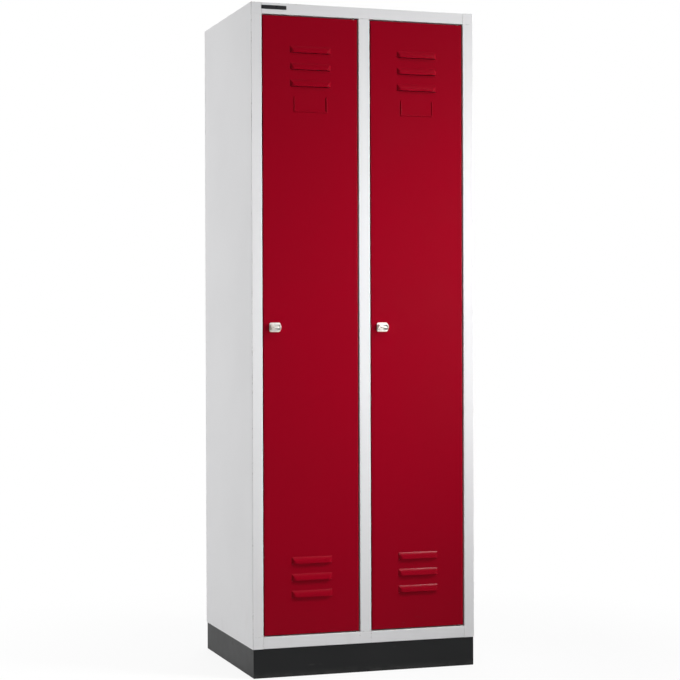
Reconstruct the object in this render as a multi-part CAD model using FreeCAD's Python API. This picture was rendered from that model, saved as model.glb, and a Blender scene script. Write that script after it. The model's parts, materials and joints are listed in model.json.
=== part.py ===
import FreeCAD, Part
import math
import os

V = FreeCAD.Vector
X_AXIS = V(1, 0, 0)
Y_AXIS = V(0, 1, 0)
Z_AXIS = V(0, 0, 1)

# Two-compartment clothing locker, in millimetres.
# X runs to the right, Y from the front to the back and Z up.
# The origin is on the floor under the middle of the body.

# Overall size of the body
WIDTH = 635.0
DEPTH = 500.0
HEIGHT = 1800.0

# Sheet thicknesses and the inside radius of every fold
BODY_SHEET = 0.8
DOOR_SHEET = 0.8
SHELF_SHEET = 0.8
PLINTH_SHEET = 1.5
STIFFENER_SHEET = 1.0
BRACKET_SHEET = 1.5
BEND_RADIUS = 1.0

# Front frame and folds of the body
OUTER_STILE = 29.5
CENTRE_POST = 32.0
TOP_RAIL = 30.0
BOTTOM_RAIL = 32.0
STOP_FLANGE = 12.0
STILE_HEM = 10.0
RAIL_LIP = 12.0
FLOOR_STEP = 12.0
REAR_FLANGE = 15.0
WELD_FLANGE = 15.0
FOOT_FLANGE = 30.0
EDGE_GAP = 0.3
LIP_CLEARANCE = 1.5

# Wall fixing holes in the back panel
WALL_HOLE_RADIUS = 4.0
WALL_HOLE_DROP = 110.0

# Plain plate on the top rail
BADGE_WIDTH = 69.0
BADGE_HEIGHT = 10.5
BADGE_THICKNESS = 1.2
BADGE_INSET = 29.0
BADGE_DROP = 7.0
BADGE_CORNER = 1.5

# Plinth and its screws
PLINTH_HEIGHT = 78.0
PLINTH_INSET = 2.0
PLINTH_FLANGE = 30.0
SCREW_SIDE_INSET = 110.0
SCREW_EDGE_INSET = 18.0
SCREW_RADIUS = 3.0
SCREW_CLEARANCE = 0.3
SCREW_HEAD_FLATS = 10.0
SCREW_HEAD_HEIGHT = 4.0
SCREW_NUT_FLATS = 11.0
SCREW_NUT_HEIGHT = 5.0
SCREW_TIP = 1.5

# Doors
DOOR_GAP = 3.0
DOOR_SETBACK = 1.0
DOOR_THICKNESS = 20.0
DOOR_LIP = 12.0
STOP_GAP = 3.0

# Louvres pressed out of the door, open along the lower edge
LOUVRE_COUNT = 3
LOUVRE_WIDTH = 114.0
LOUVRE_HEIGHT = 18.0
LOUVRE_REACH = 6.0
LOUVRE_END = 14.0
LOUVRE_PITCH = 45.0
LOUVRE_LOW = 99.0
LOUVRE_HIGH = 97.0
LANCE_GAP = 0.5

# Label frame pressed into the door
LABEL_WIDTH = 94.0
LABEL_HEIGHT = 42.0
LABEL_DROP = 27.0
LABEL_BEAD_RADIUS = 2.0

# Stiffener channel behind the door's skin
STIFFENER_WIDTH = 60.0
STIFFENER_DEPTH = 14.0
STIFFENER_FLANGE = 14.0
STIFFENER_MARGIN = 40.0

# Door pivots
PIN_RADIUS = 3.0
PIN_HEAD_RADIUS = 5.0
PIN_HEAD_HEIGHT = 3.0
PIN_HEAD_GAP = 0.3
PIN_REACH = 8.0
BUSH_WALL = 2.0
BUSH_FLANGE_RADIUS = 6.0
BUSH_FLANGE_HEIGHT = 1.2
BUSH_LENGTH = 9.0
RUNNING_FIT = 0.05
STATIC_FIT = 0.05
SEAT_GAP = 0.3
SWING_CLEARANCE = 1.0

# Door buffers on the stop flanges
BUFFER_RADIUS = 4.0
BUFFER_NECK_RADIUS = 2.0
BUFFER_BULB_RADIUS = 3.0
BUFFER_BULB_LENGTH = 2.5
BUFFER_MARGIN = 1.0
BUFFER_OFFSET = 150.0

# Turn latch
LATCH_INSET = 31.0
LATCH_RISE = 822.0
PLATE_WIDTH = 31.0
PLATE_HEIGHT = 25.0
PLATE_THICKNESS = 2.2
PLATE_CORNER = 5.0
PLATE_EDGE = 0.8
EAR_GAP = 22.0
EAR_THICKNESS = 3.0
EAR_HEIGHT = 14.0
EAR_REACH = 13.0
EAR_EDGE = 0.8
EYE_RADIUS = 3.3
BARREL_RADIUS = 9.0
BARREL_NUT_FLATS = 25.0
BARREL_NUT_HEIGHT = 4.0
SPINDLE_RADIUS = 4.5
VANE_BASE_RADIUS = 10.0
VANE_BASE_HEIGHT = 1.8
VANE_THICKNESS = 4.0
VANE_SHORTFALL = 1.0
VANE_CORNER = 6.0
VANE_EDGE = 1.0
VANE_GAP = 0.3
CAM_THICKNESS = 2.5
CAM_WIDTH = 16.0
CAM_TAIL = 10.0
CAM_BITE = 14.0
CAM_GAP = 0.6
SQUARE_RELIEF = 0.4
CAM_SCREW_RADIUS = 2.0
CAM_SCREW_DEPTH = 8.0
CAM_SCREW_HEAD_RADIUS = 4.5
CAM_SCREW_HEAD_HEIGHT = 2.5

# Hat shelf and its brackets
SHELF_DROP = 290.0
SHELF_SETBACK = 60.0
SHELF_FLANGE = 22.0
SHELF_HEM = 10.0
SHELF_SIDE_GAP = 0.6
BRACKET_LEG = 22.0
BRACKET_LEDGE = 16.0
BRACKET_MARGIN = 6.0

# Coat rail and its cups
RAIL_RADIUS = 10.0
RAIL_WALL = 1.2
RAIL_DROP = 60.0
RAIL_FIT = 0.2
CUP_DEPTH = 12.0
CUP_WALL = 3.0
CUP_WEB = 2.0
CUP_FLANGE_RADIUS = 20.0
CUP_FLANGE_HEIGHT = 2.0

# Sliding double hooks
HOOK_COUNT = 3
HOOK_WIDTH = 9.0
HOOK_COLLAR_WALL = 3.5
HOOK_RUNNING_GAP = 0.3
HOOK_STEM_RADIUS = 3.2
HOOK_DROP = 44.0
HOOK_ARM_RADIUS = 3.0
HOOK_SPREAD = 16.0
HOOK_TIP = 8.0
HOOK_EDGE = 1.2

# Planes of the body
LEFT = -WIDTH / 2
RIGHT = WIDTH / 2
FRONT = -DEPTH / 2
BACK = DEPTH / 2
HALF_SHEET = BODY_SHEET / 2
BODY_BOTTOM = PLINTH_HEIGHT
BODY_TOP = HEIGHT - BODY_SHEET
INNER_BACK = BACK - 2 * BODY_SHEET - EDGE_GAP
FLANGE_PLANE = BACK - BODY_SHEET - HALF_SHEET

# Planes of the door openings
OPENING_BOTTOM = BODY_BOTTOM + BOTTOM_RAIL
OPENING_TOP = HEIGHT - TOP_RAIL
OPENING_WIDTH = (WIDTH - 2 * OUTER_STILE - CENTRE_POST) / 2
FLOOR_LEVEL = OPENING_BOTTOM + FLOOR_STEP
DOOR_BOTTOM = OPENING_BOTTOM + DOOR_GAP
DOOR_TOP = OPENING_TOP - DOOR_GAP
DOOR_FACE = FRONT + DOOR_SETBACK
DOOR_REAR = DOOR_FACE + DOOR_THICKNESS
STOP_FACE = DOOR_REAR + STOP_GAP
STOP_BACK = STOP_FACE + BODY_SHEET

# The pin's head clears the fold at the door's end, and the front corner passes the jamb as the door turns.
PIVOT_SETBACK = DOOR_SHEET + BEND_RADIUS + PIN_HEAD_RADIUS + PIN_HEAD_GAP
SWING_ROOM = DOOR_GAP - SWING_CLEARANCE
PIVOT_INSET = max(PIVOT_SETBACK, (PIVOT_SETBACK**2 - SWING_ROOM**2) / (2 * SWING_ROOM))
SWING_DEPTH = PIVOT_SETBACK + math.hypot(PIVOT_INSET, DOOR_THICKNESS - PIVOT_SETBACK)
# The lips of both rails stand behind the swing of the door's rear corner and behind the stop flange.
LIP_FACE = max(DOOR_FACE + SWING_DEPTH, STOP_BACK) + LIP_CLEARANCE
LIP_BACK = LIP_FACE + BODY_SHEET
LIP_PLANE = LIP_FACE + HALF_SHEET

# Planes of the latch
PLATE_FACE = DOOR_FACE - PLATE_THICKNESS
EAR_CENTRE = PLATE_FACE - EAR_REACH + EAR_HEIGHT / 2
CAM_FACE = STOP_BACK + CAM_GAP
CAM_BACK = CAM_FACE + CAM_THICKNESS
CAM_LENGTH = LATCH_INSET + DOOR_GAP - STOP_FLANGE + CAM_BITE
SQUARE_SIDE = SPINDLE_RADIUS * math.sqrt(2) - SQUARE_RELIEF

# Planes of the inner fittings
SHELF_LEVEL = HEIGHT - SHELF_DROP
SHELF_UNDERSIDE = SHELF_LEVEL - SHELF_SHEET
SHELF_FRONT = FRONT + SHELF_SETBACK
RAIL_LEVEL = SHELF_LEVEL - RAIL_DROP
RAIL_PLANE = (FRONT + BACK) / 2


class Bay:
    """One compartment: its door opening, its inner walls, and where its door turns and latches."""

    def __init__(self, name, opening_left, wall_left, wall_right):
        self.name = name
        self.opening_left = opening_left
        self.opening_right = opening_left + OPENING_WIDTH
        self.wall_left = wall_left
        self.wall_right = wall_right
        self.door_left = self.opening_left + DOOR_GAP
        self.door_right = self.opening_right - DOOR_GAP
        self.door_centre = (self.door_left + self.door_right) / 2
        self.pivot_x = self.door_right - PIVOT_INSET
        self.pivot_y = DOOR_FACE + PIVOT_SETBACK
        self.latch_x = self.door_left + LATCH_INSET
        self.latch_z = DOOR_BOTTOM + LATCH_RISE

    def hook_places(self):
        """X of the middle of each hook's stretch of the rail, and half the length of a stretch."""
        start = self.wall_left + CUP_DEPTH
        stretch = (self.wall_right - CUP_DEPTH - start) / HOOK_COUNT
        return [start + stretch * (index + 0.5) for index in range(HOOK_COUNT)], stretch / 2


BAYS = [
    Bay("left", LEFT + OUTER_STILE, LEFT + BODY_SHEET, -HALF_SHEET),
    Bay("right", CENTRE_POST / 2, HALF_SHEET, RIGHT - BODY_SHEET),
]


# Outlines and simple solids


def in_plan(u, v):
    """Point of an outline seen from above."""
    return V(u, v, 0)


def in_side(u, v):
    """Point of an outline seen from the side, with u along Y and v up."""
    return V(0, u, v)


def in_front(u, v):
    """Point of an outline seen from the front, with u along X and v up."""
    return V(u, 0, v)


NORMALS = {in_plan: Z_AXIS, in_side: X_AXIS, in_front: Y_AXIS}


def prism(stretches, plane, start, end):
    """Solid between two parallel planes, with an outline of lines of 2 points and arcs of 3."""
    edges = []
    for stretch in stretches:
        corners = [plane(*point) for point in stretch]
        if len(corners) == 2:
            edges.append(Part.makeLine(*corners))
        else:
            edges.append(Part.Arc(*corners).toShape())
    solid = Part.Face(Part.Wire(edges)).extrude(NORMALS[plane] * (end - start))
    solid.translate(NORMALS[plane] * start)
    return solid


def polygon(corners):
    """Closed outline of straight lines through the corners."""
    return list(zip(corners, corners[1:] + corners[:1]))


def bent_sheet(path, sheet, plane, start, end):
    """Folded sheet whose middle line runs along the path, with square folds rounded at BEND_RADIUS."""
    half = sheet / 2
    trim = BEND_RADIUS + half
    last = len(path) - 2
    runs = []
    for index, ((u0, v0), (u1, v1)) in enumerate(zip(path, path[1:])):
        length = math.hypot(u1 - u0, v1 - v0)
        du = (u1 - u0) / length
        dv = (v1 - v0) / length
        head = trim if index > 0 else 0
        tail = trim if index < last else 0
        runs.append(((u0 + du * head, v0 + dv * head), (u1 - du * tail, v1 - dv * tail), (-dv, du)))

    def face(offset):
        """Lines and arcs of one face of the sheet, in order along the path."""
        stretches = []
        for index, (first, second, normal) in enumerate(runs):
            line = tuple((u + normal[0] * offset, v + normal[1] * offset) for u, v in (first, second))
            if index > 0:
                corner = path[index]
                before = runs[index - 1][1]
                centre = (before[0] + first[0] - corner[0], before[1] + first[1] - corner[1])
                radius = math.dist(centre, line[0])
                share = radius / math.dist(centre, corner)
                middle = tuple(c + (p - c) * share for c, p in zip(centre, corner))
                stretches.append((stretches[-1][-1], middle, line[0]))
            stretches.append(line)
        return stretches

    outward = face(half)
    inward = [stretch[::-1] for stretch in face(-half)[::-1]]
    caps = [(outward[-1][-1], inward[0][0]), (inward[-1][-1], outward[0][0])]
    return prism(outward + caps[:1] + inward + caps[1:], plane, start, end)


def block(xs, ys, zs):
    """Box between two values on each axis, in either order."""
    lows = V(min(xs), min(ys), min(zs))
    highs = V(max(xs), max(ys), max(zs))
    size = highs - lows
    return Part.makeBox(size.x, size.y, size.z, lows)


def rod(radius, start, axis, length):
    """Cylinder from a point along an axis."""
    return Part.makeCylinder(radius, length, start, axis)


def hex_bar(flats, centre, plane, start, end):
    """Six-sided bar between two planes."""
    radius = flats / math.sqrt(3)
    corners = []
    for index in range(6):
        angle = math.radians(60 * index)
        corners.append((centre[0] + radius * math.cos(angle), centre[1] + radius * math.sin(angle)))
    return prism(polygon(corners), plane, start, end)


def edges_along(shape, axis):
    """Straight edges of a shape that run along an axis."""
    found = []
    for edge in shape.Edges:
        ends = [vertex.Point for vertex in edge.Vertexes]
        if len(ends) == 2 and (ends[1] - ends[0]).normalize().cross(axis).Length < 1e-6:
            found.append(edge)
    return found


def edges_in_plane(shape, axis, value):
    """Edges of a shape that lie in the plane at a value of an axis."""
    return [
        edge
        for edge in shape.Edges
        if all(abs(vertex.Point.dot(axis) - value) < 1e-6 for vertex in edge.Vertexes)
    ]


# Body


def side_panel(side):
    """Side wall folded round the front stile, with flanges for the back, the top and the plinth.

    The left one carries a door stop. The right one is a hinge jamb, closed by a hem inside the stile.
    """
    outer = side * WIDTH / 2
    jamb = outer - side * (OUTER_STILE - HALF_SHEET)
    stop_end = outer - side * (OUTER_STILE + STOP_FLANGE)
    hem_end = jamb + side * STILE_HEM
    path = [
        (outer - side * REAR_FLANGE, FLANGE_PLANE),
        (outer - side * HALF_SHEET, FLANGE_PLANE),
        (outer - side * HALF_SHEET, FRONT + HALF_SHEET),
        (jamb, FRONT + HALF_SHEET),
        (jamb, STOP_FACE + HALF_SHEET),
        (stop_end if side < 0 else hem_end, STOP_FACE + HALF_SHEET),
    ]
    panel = bent_sheet(path, BODY_SHEET, in_plan, BODY_BOTTOM, BODY_TOP)
    for level in (BODY_BOTTOM, BODY_TOP - BODY_SHEET):
        panel = panel.fuse(
            block(
                (outer - side * HALF_SHEET, outer - side * WELD_FLANGE),
                (STOP_BACK + EDGE_GAP, INNER_BACK),
                (level, level + BODY_SHEET),
            )
        )
    if side < 0:
        opening_edge = outer - side * OUTER_STILE
        reach = (STOP_FACE - BEND_RADIUS - EDGE_GAP, STOP_BACK + EDGE_GAP)
        for span in stop_trims():
            panel = panel.cut(block((opening_edge, stop_end + EDGE_GAP), reach, span))
        for level in buffer_levels():
            panel = panel.cut(buffer_hole(BAYS[0], level))
    return panel.removeSplitter()


def stop_trims():
    """Spans of height, under and over a door opening, where a stop flange is cut away."""
    return [(BODY_BOTTOM, OPENING_BOTTOM + EDGE_GAP), (OPENING_TOP - EDGE_GAP, HEIGHT)]


def centre_partition():
    """Wall between the compartments, folded at its front into the centre post and the right door's stop."""
    side = CENTRE_POST / 2 - HALF_SHEET
    stop_end = CENTRE_POST / 2 + STOP_FLANGE
    stop_plane = STOP_FACE + HALF_SHEET
    path = [
        (stop_end, stop_plane),
        (side, stop_plane),
        (side, FRONT + HALF_SHEET),
        (-side, FRONT + HALF_SHEET),
        (-side, stop_plane),
        (0, stop_plane),
        (0, FLANGE_PLANE),
        (REAR_FLANGE, FLANGE_PLANE),
    ]
    wall = bent_sheet(path, BODY_SHEET, in_plan, OPENING_BOTTOM, BODY_TOP)
    post_back = STOP_BACK + EDGE_GAP
    post_width = (-CENTRE_POST, stop_end + EDGE_GAP)
    over_post = block(post_width, (FRONT - EDGE_GAP, post_back), (OPENING_TOP, HEIGHT))
    lip_notch = block(
        post_width, (STOP_BACK, LIP_BACK + EDGE_GAP), (OPENING_TOP - RAIL_LIP - EDGE_GAP, HEIGHT)
    )
    under_floor = block(post_width, (post_back, BACK), (OPENING_BOTTOM, FLOOR_LEVEL))
    wall = wall.cut(over_post).cut(lip_notch).cut(under_floor)
    reach = (STOP_FACE - BEND_RADIUS - EDGE_GAP, STOP_BACK + EDGE_GAP)
    for span in stop_trims():
        wall = wall.cut(block((CENTRE_POST / 2, stop_end + EDGE_GAP), reach, span))
    for level in buffer_levels():
        wall = wall.cut(buffer_hole(BAYS[1], level))
    return wall.removeSplitter()


def back_panel():
    """Flat rear sheet with one wall fixing hole behind each hat shelf."""
    panel = block((LEFT, RIGHT), (BACK - BODY_SHEET, BACK), (BODY_BOTTOM, BODY_TOP))
    for bay in BAYS:
        start = V(bay.door_centre, BACK - 2 * BODY_SHEET, HEIGHT - WALL_HOLE_DROP)
        panel = panel.cut(rod(WALL_HOLE_RADIUS, start, Y_AXIS, 3 * BODY_SHEET))
    return panel


def top_panel():
    """Top sheet over the whole body, folded down into the top rail and the lip behind the doors."""
    path = [
        (BACK, HEIGHT - HALF_SHEET),
        (FRONT + HALF_SHEET, HEIGHT - HALF_SHEET),
        (FRONT + HALF_SHEET, OPENING_TOP + HALF_SHEET),
        (LIP_PLANE, OPENING_TOP + HALF_SHEET),
        (LIP_PLANE, OPENING_TOP - RAIL_LIP),
    ]
    panel = bent_sheet(path, BODY_SHEET, in_side, LEFT + OUTER_STILE, RIGHT - OUTER_STILE)
    for edge, inner in ((LEFT, LEFT + OUTER_STILE), (RIGHT, RIGHT - OUTER_STILE)):
        panel = panel.fuse(block((edge, inner), (FRONT, BACK), (BODY_TOP, HEIGHT)))
    for bay in BAYS:
        panel = panel.cut(bush_hole(bay, OPENING_TOP))
    return panel.removeSplitter()


def floor_panel():
    """Floor of both compartments, folded down at the front into the sill and the bottom rail."""
    foot = BODY_BOTTOM + HALF_SHEET
    rear = INNER_BACK - HALF_SHEET
    path = [
        (FRONT + FOOT_FLANGE, foot),
        (FRONT + HALF_SHEET, foot),
        (FRONT + HALF_SHEET, OPENING_BOTTOM - HALF_SHEET),
        (LIP_PLANE, OPENING_BOTTOM - HALF_SHEET),
        (LIP_PLANE, FLOOR_LEVEL - HALF_SHEET),
        (rear, FLOOR_LEVEL - HALF_SHEET),
        (rear, foot),
        (rear - FOOT_FLANGE, foot),
    ]
    panel = bent_sheet(path, BODY_SHEET, in_side, LEFT + OUTER_STILE, RIGHT - OUTER_STILE)
    floor_edge = WIDTH / 2 - BODY_SHEET
    sides = block(
        (-floor_edge, floor_edge),
        (LIP_BACK + BEND_RADIUS, INNER_BACK - BODY_SHEET - BEND_RADIUS),
        (FLOOR_LEVEL - BODY_SHEET, FLOOR_LEVEL),
    )
    panel = panel.fuse(sides).fuse(floor_corner(-1)).fuse(floor_corner(1))
    for bay in BAYS:
        panel = panel.cut(bush_hole(bay, OPENING_BOTTOM))
    for x, y in screw_places():
        panel = panel.cut(screw_hole(x, y))
    return panel.removeSplitter()


def floor_corner(side):
    """Tab of the floor that closes the hollow of an outer stile. The right one passes behind the hem."""
    opening_edge = WIDTH / 2 - OUTER_STILE
    outer = side * (WIDTH / 2 - BODY_SHEET - BEND_RADIUS)
    inner = side * (opening_edge + BODY_SHEET + BEND_RADIUS)
    passage = inner if side < 0 else opening_edge + HALF_SHEET + STILE_HEM + EDGE_GAP
    front = FRONT + BODY_SHEET + BEND_RADIUS
    levels = (FLOOR_LEVEL - BODY_SHEET, FLOOR_LEVEL)
    tab = block((inner, outer), (front, STOP_FACE - EDGE_GAP), levels)
    return tab.fuse(block((passage, outer), (front, LIP_BACK + BEND_RADIUS), levels))


def badge_plate():
    """Plain dark plate on the left end of the top rail."""
    left = LEFT + BADGE_INSET
    top = HEIGHT - BADGE_DROP
    plate = block((left, left + BADGE_WIDTH), (FRONT - BADGE_THICKNESS, FRONT), (top - BADGE_HEIGHT, top))
    return plate.makeFillet(BADGE_CORNER, edges_along(plate, Y_AXIS))


# Plinth


def plinth_member(direction):
    """One folded channel of the plinth, mitred at both ends. The direction points out of the body."""
    dx, dy = direction
    half = PLINTH_SHEET / 2
    left, right = LEFT + PLINTH_INSET, RIGHT - PLINTH_INSET
    front, back = FRONT + PLINTH_INSET, BACK - PLINTH_INSET
    sign = dx + dy
    outer = (right if dx else back) if sign > 0 else (left if dx else front)
    web = outer - sign * half
    tip = outer - sign * PLINTH_FLANGE
    path = [(tip, half), (web, half), (web, PLINTH_HEIGHT - half), (tip, PLINTH_HEIGHT - half)]
    depth = PLINTH_FLANGE + EDGE_GAP
    if dx:
        member = bent_sheet(path, PLINTH_SHEET, in_front, front, back)
        near, far = (outer, front), (outer, back)
        inner = [(outer - sign * depth, back - depth), (outer - sign * depth, front + depth)]
    else:
        member = bent_sheet(path, PLINTH_SHEET, in_side, left, right)
        near, far = (left, outer), (right, outer)
        inner = [(right - depth, outer - sign * depth), (left + depth, outer - sign * depth)]
    member = member.common(prism(polygon([near, far] + inner), in_plan, 0, PLINTH_HEIGHT))
    if dy:
        for x, y in screw_places():
            member = member.cut(screw_hole(x, y))
    return member


def screw_places():
    """X and Y of the four screws between the body and the plinth."""
    x = WIDTH / 2 - SCREW_SIDE_INSET
    y = DEPTH / 2 - SCREW_EDGE_INSET
    return [(-x, -y), (x, -y), (-x, y), (x, y)]


def screw_hole(x, y):
    """Clearance hole through the flanges of the plinth and of the body."""
    low = PLINTH_HEIGHT - PLINTH_SHEET - EDGE_GAP
    return rod(SCREW_RADIUS + SCREW_CLEARANCE, V(x, y, low), Z_AXIS, PLINTH_SHEET + BODY_SHEET + 2 * EDGE_GAP)


def plinth_screws():
    """Hexagon screws put in from below."""
    seat = PLINTH_HEIGHT - PLINTH_SHEET
    length = PLINTH_SHEET + BODY_SHEET + SCREW_NUT_HEIGHT + SCREW_TIP
    screws = []
    for x, y in screw_places():
        head = hex_bar(SCREW_HEAD_FLATS, (x, y), in_plan, seat - SCREW_HEAD_HEIGHT, seat)
        screws.append(head.fuse(rod(SCREW_RADIUS, V(x, y, seat), Z_AXIS, length)))
    return Part.makeCompound(screws)


def plinth_nuts():
    """Weld nuts on the body's foot flanges."""
    seat = BODY_BOTTOM + BODY_SHEET
    nuts = []
    for x, y in screw_places():
        nut = hex_bar(SCREW_NUT_FLATS, (x, y), in_plan, seat, seat + SCREW_NUT_HEIGHT)
        nuts.append(nut.cut(rod(SCREW_RADIUS + STATIC_FIT, V(x, y, seat), Z_AXIS, SCREW_NUT_HEIGHT)))
    return Part.makeCompound(nuts)


# Fittings inside a compartment


def hat_shelf(bay):
    """Shelf with folded front and rear edges, resting on the brackets."""
    half = SHELF_SHEET / 2
    front = SHELF_FRONT + half
    rear = INNER_BACK - half
    low = SHELF_LEVEL - SHELF_FLANGE
    path = [
        (rear, low),
        (rear, SHELF_LEVEL - half),
        (front, SHELF_LEVEL - half),
        (front, low + half),
        (front + SHELF_HEM, low + half),
    ]
    return bent_sheet(
        path, SHELF_SHEET, in_side, bay.wall_left + SHELF_SIDE_GAP, bay.wall_right - SHELF_SIDE_GAP
    )


def shelf_brackets(bay):
    """Angle brackets on both walls under the shelf."""
    half = BRACKET_SHEET / 2
    ledge = SHELF_UNDERSIDE - half
    start = SHELF_FRONT + SHELF_SHEET + SHELF_HEM + BRACKET_MARGIN
    end = INNER_BACK - SHELF_SHEET - BRACKET_MARGIN
    brackets = []
    for wall, inward in ((bay.wall_left, 1), (bay.wall_right, -1)):
        path = [
            (wall + inward * half, SHELF_UNDERSIDE - BRACKET_LEG),
            (wall + inward * half, ledge),
            (wall + inward * BRACKET_LEDGE, ledge),
        ]
        brackets.append(bent_sheet(path, BRACKET_SHEET, in_front, start, end))
    return Part.makeCompound(brackets)


def coat_rail(bay):
    """Round tube held in the two cups."""
    start = bay.wall_left + CUP_WEB + SEAT_GAP
    length = bay.wall_right - CUP_WEB - SEAT_GAP - start
    place = V(start, RAIL_PLANE, RAIL_LEVEL)
    tube = rod(RAIL_RADIUS, place, X_AXIS, length)
    return tube.cut(rod(RAIL_RADIUS - RAIL_WALL, place, X_AXIS, length))


def rail_cups(bay):
    """Flanged cups on both walls that hold the ends of the rail."""
    cups = []
    for wall, axis in ((bay.wall_left, X_AXIS), (bay.wall_right, -X_AXIS)):
        foot = V(wall, RAIL_PLANE, RAIL_LEVEL)
        bore = RAIL_RADIUS + RAIL_FIT
        cup = rod(CUP_FLANGE_RADIUS, foot, axis, CUP_FLANGE_HEIGHT)
        cup = cup.fuse(rod(bore + CUP_WALL, foot, axis, CUP_DEPTH))
        cups.append(cup.cut(rod(bore, foot + axis * CUP_WEB, axis, CUP_DEPTH)).removeSplitter())
    return Part.makeCompound(cups)


def coat_hook(x):
    """Double hook with round arms, whose collar slides on the rail."""
    bore = RAIL_RADIUS + HOOK_RUNNING_GAP
    collar_start = V(x - HOOK_WIDTH / 2, RAIL_PLANE, RAIL_LEVEL)
    collar = rod(bore + HOOK_COLLAR_WALL, collar_start, X_AXIS, HOOK_WIDTH)
    collar = collar.makeFillet(HOOK_EDGE, [edge for edge in collar.Edges if edge.isClosed()])
    bow_centre = V(x, RAIL_PLANE, RAIL_LEVEL - HOOK_DROP)
    bow = Part.makeTorus(HOOK_SPREAD, HOOK_ARM_RADIUS, bow_centre, X_AXIS)
    span = HOOK_SPREAD + 2 * HOOK_ARM_RADIUS
    corner = bow_centre - V(span, span, 0)
    hook = bow.cut(Part.makeBox(2 * span, 2 * span, span, corner))
    for side in (-1, 1):
        foot = bow_centre + Y_AXIS * side * HOOK_SPREAD
        hook = hook.fuse(rod(HOOK_ARM_RADIUS, foot, Z_AXIS, HOOK_TIP))
        hook = hook.fuse(Part.makeSphere(HOOK_ARM_RADIUS, foot + Z_AXIS * HOOK_TIP))
    stem_foot = bow_centre - Z_AXIS * HOOK_SPREAD
    hook = hook.fuse(rod(HOOK_STEM_RADIUS, stem_foot, Z_AXIS, HOOK_DROP + HOOK_SPREAD)).fuse(collar)
    return hook.cut(rod(bore, collar_start, X_AXIS, HOOK_WIDTH)).removeSplitter()


# Door pivots and buffers


def bush_hole(bay, level):
    """Hole for a pivot bush through the sheet at a level."""
    radius = PIN_RADIUS + RUNNING_FIT + BUSH_WALL + STATIC_FIT
    start = V(bay.pivot_x, bay.pivot_y, level - BODY_SHEET - EDGE_GAP)
    return rod(radius, start, Z_AXIS, 2 * (BODY_SHEET + EDGE_GAP))


def hinge_bushes(bay):
    """Flanged bushes in the sill and under the top rail, flange towards the door."""
    bushes = []
    for level, outward in ((OPENING_BOTTOM, -1), (OPENING_TOP, 1)):
        axis = Z_AXIS * outward
        seat = V(bay.pivot_x, bay.pivot_y, level)
        tip = seat - axis * BUSH_FLANGE_HEIGHT
        bore = PIN_RADIUS + RUNNING_FIT
        bush = rod(BUSH_FLANGE_RADIUS, tip, axis, BUSH_FLANGE_HEIGHT)
        bush = bush.fuse(rod(bore + BUSH_WALL, seat, axis, BUSH_LENGTH))
        bushes.append(bush.cut(rod(bore, tip, axis, BUSH_FLANGE_HEIGHT + BUSH_LENGTH)).removeSplitter())
    return Part.makeCompound(bushes)


def hinge_pins(bay):
    """Pivot pins fixed in the ends of the door, each with a collar outside and a head inside."""
    pins = []
    for level, end, outward in ((OPENING_BOTTOM, DOOR_BOTTOM, -1), (OPENING_TOP, DOOR_TOP, 1)):
        axis = Z_AXIS * outward
        door_end = V(bay.pivot_x, bay.pivot_y, end)
        head = door_end - axis * (DOOR_SHEET + PIN_HEAD_HEIGHT)
        shaft = PIN_HEAD_HEIGHT + DOOR_SHEET + abs(end - level) + PIN_REACH
        collar = abs(end - level) - BUSH_FLANGE_HEIGHT - SEAT_GAP
        pin = rod(PIN_RADIUS, head, axis, shaft)
        pin = pin.fuse(rod(PIN_HEAD_RADIUS, head, axis, PIN_HEAD_HEIGHT))
        pins.append(pin.fuse(rod(PIN_HEAD_RADIUS, door_end, axis, collar)).removeSplitter())
    return Part.makeCompound(pins)


def buffer_levels():
    """Heights of the two buffers of a door."""
    return [DOOR_BOTTOM + BUFFER_OFFSET, DOOR_TOP - BUFFER_OFFSET]


def buffer_place(bay, level):
    """Middle of a buffer's head on the face of the stop flange."""
    return V(bay.opening_left + STOP_FLANGE - BUFFER_RADIUS - BUFFER_MARGIN, STOP_FACE, level)


def buffer_hole(bay, level):
    """Hole for a buffer's neck through the stop flange."""
    start = buffer_place(bay, level) - Y_AXIS * EDGE_GAP
    return rod(BUFFER_NECK_RADIUS + STATIC_FIT, start, Y_AXIS, BODY_SHEET + 2 * EDGE_GAP)


def door_buffers(bay):
    """Rubber buffers pushed through the stop flange, each held by a bulb behind it."""
    buffers = []
    for level in buffer_levels():
        seat = buffer_place(bay, level)
        bulb = rod(BUFFER_BULB_RADIUS, seat + Y_AXIS * BODY_SHEET, Y_AXIS, BUFFER_BULB_LENGTH)
        neck = rod(BUFFER_NECK_RADIUS, seat, Y_AXIS, BODY_SHEET)
        head = rod(BUFFER_RADIUS, seat, -Y_AXIS, STOP_GAP - SEAT_GAP)
        buffers.append(head.fuse(neck).fuse(bulb).removeSplitter())
    return Part.makeCompound(buffers)


# Doors


def louvre_lips():
    """Heights of the lower edges of all louvres of a door."""
    low = [DOOR_BOTTOM + LOUVRE_LOW + LOUVRE_PITCH * index for index in range(LOUVRE_COUNT)]
    high = [DOOR_TOP - LOUVRE_HIGH - LOUVRE_PITCH * index for index in range(LOUVRE_COUNT)]
    return low, high


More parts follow.
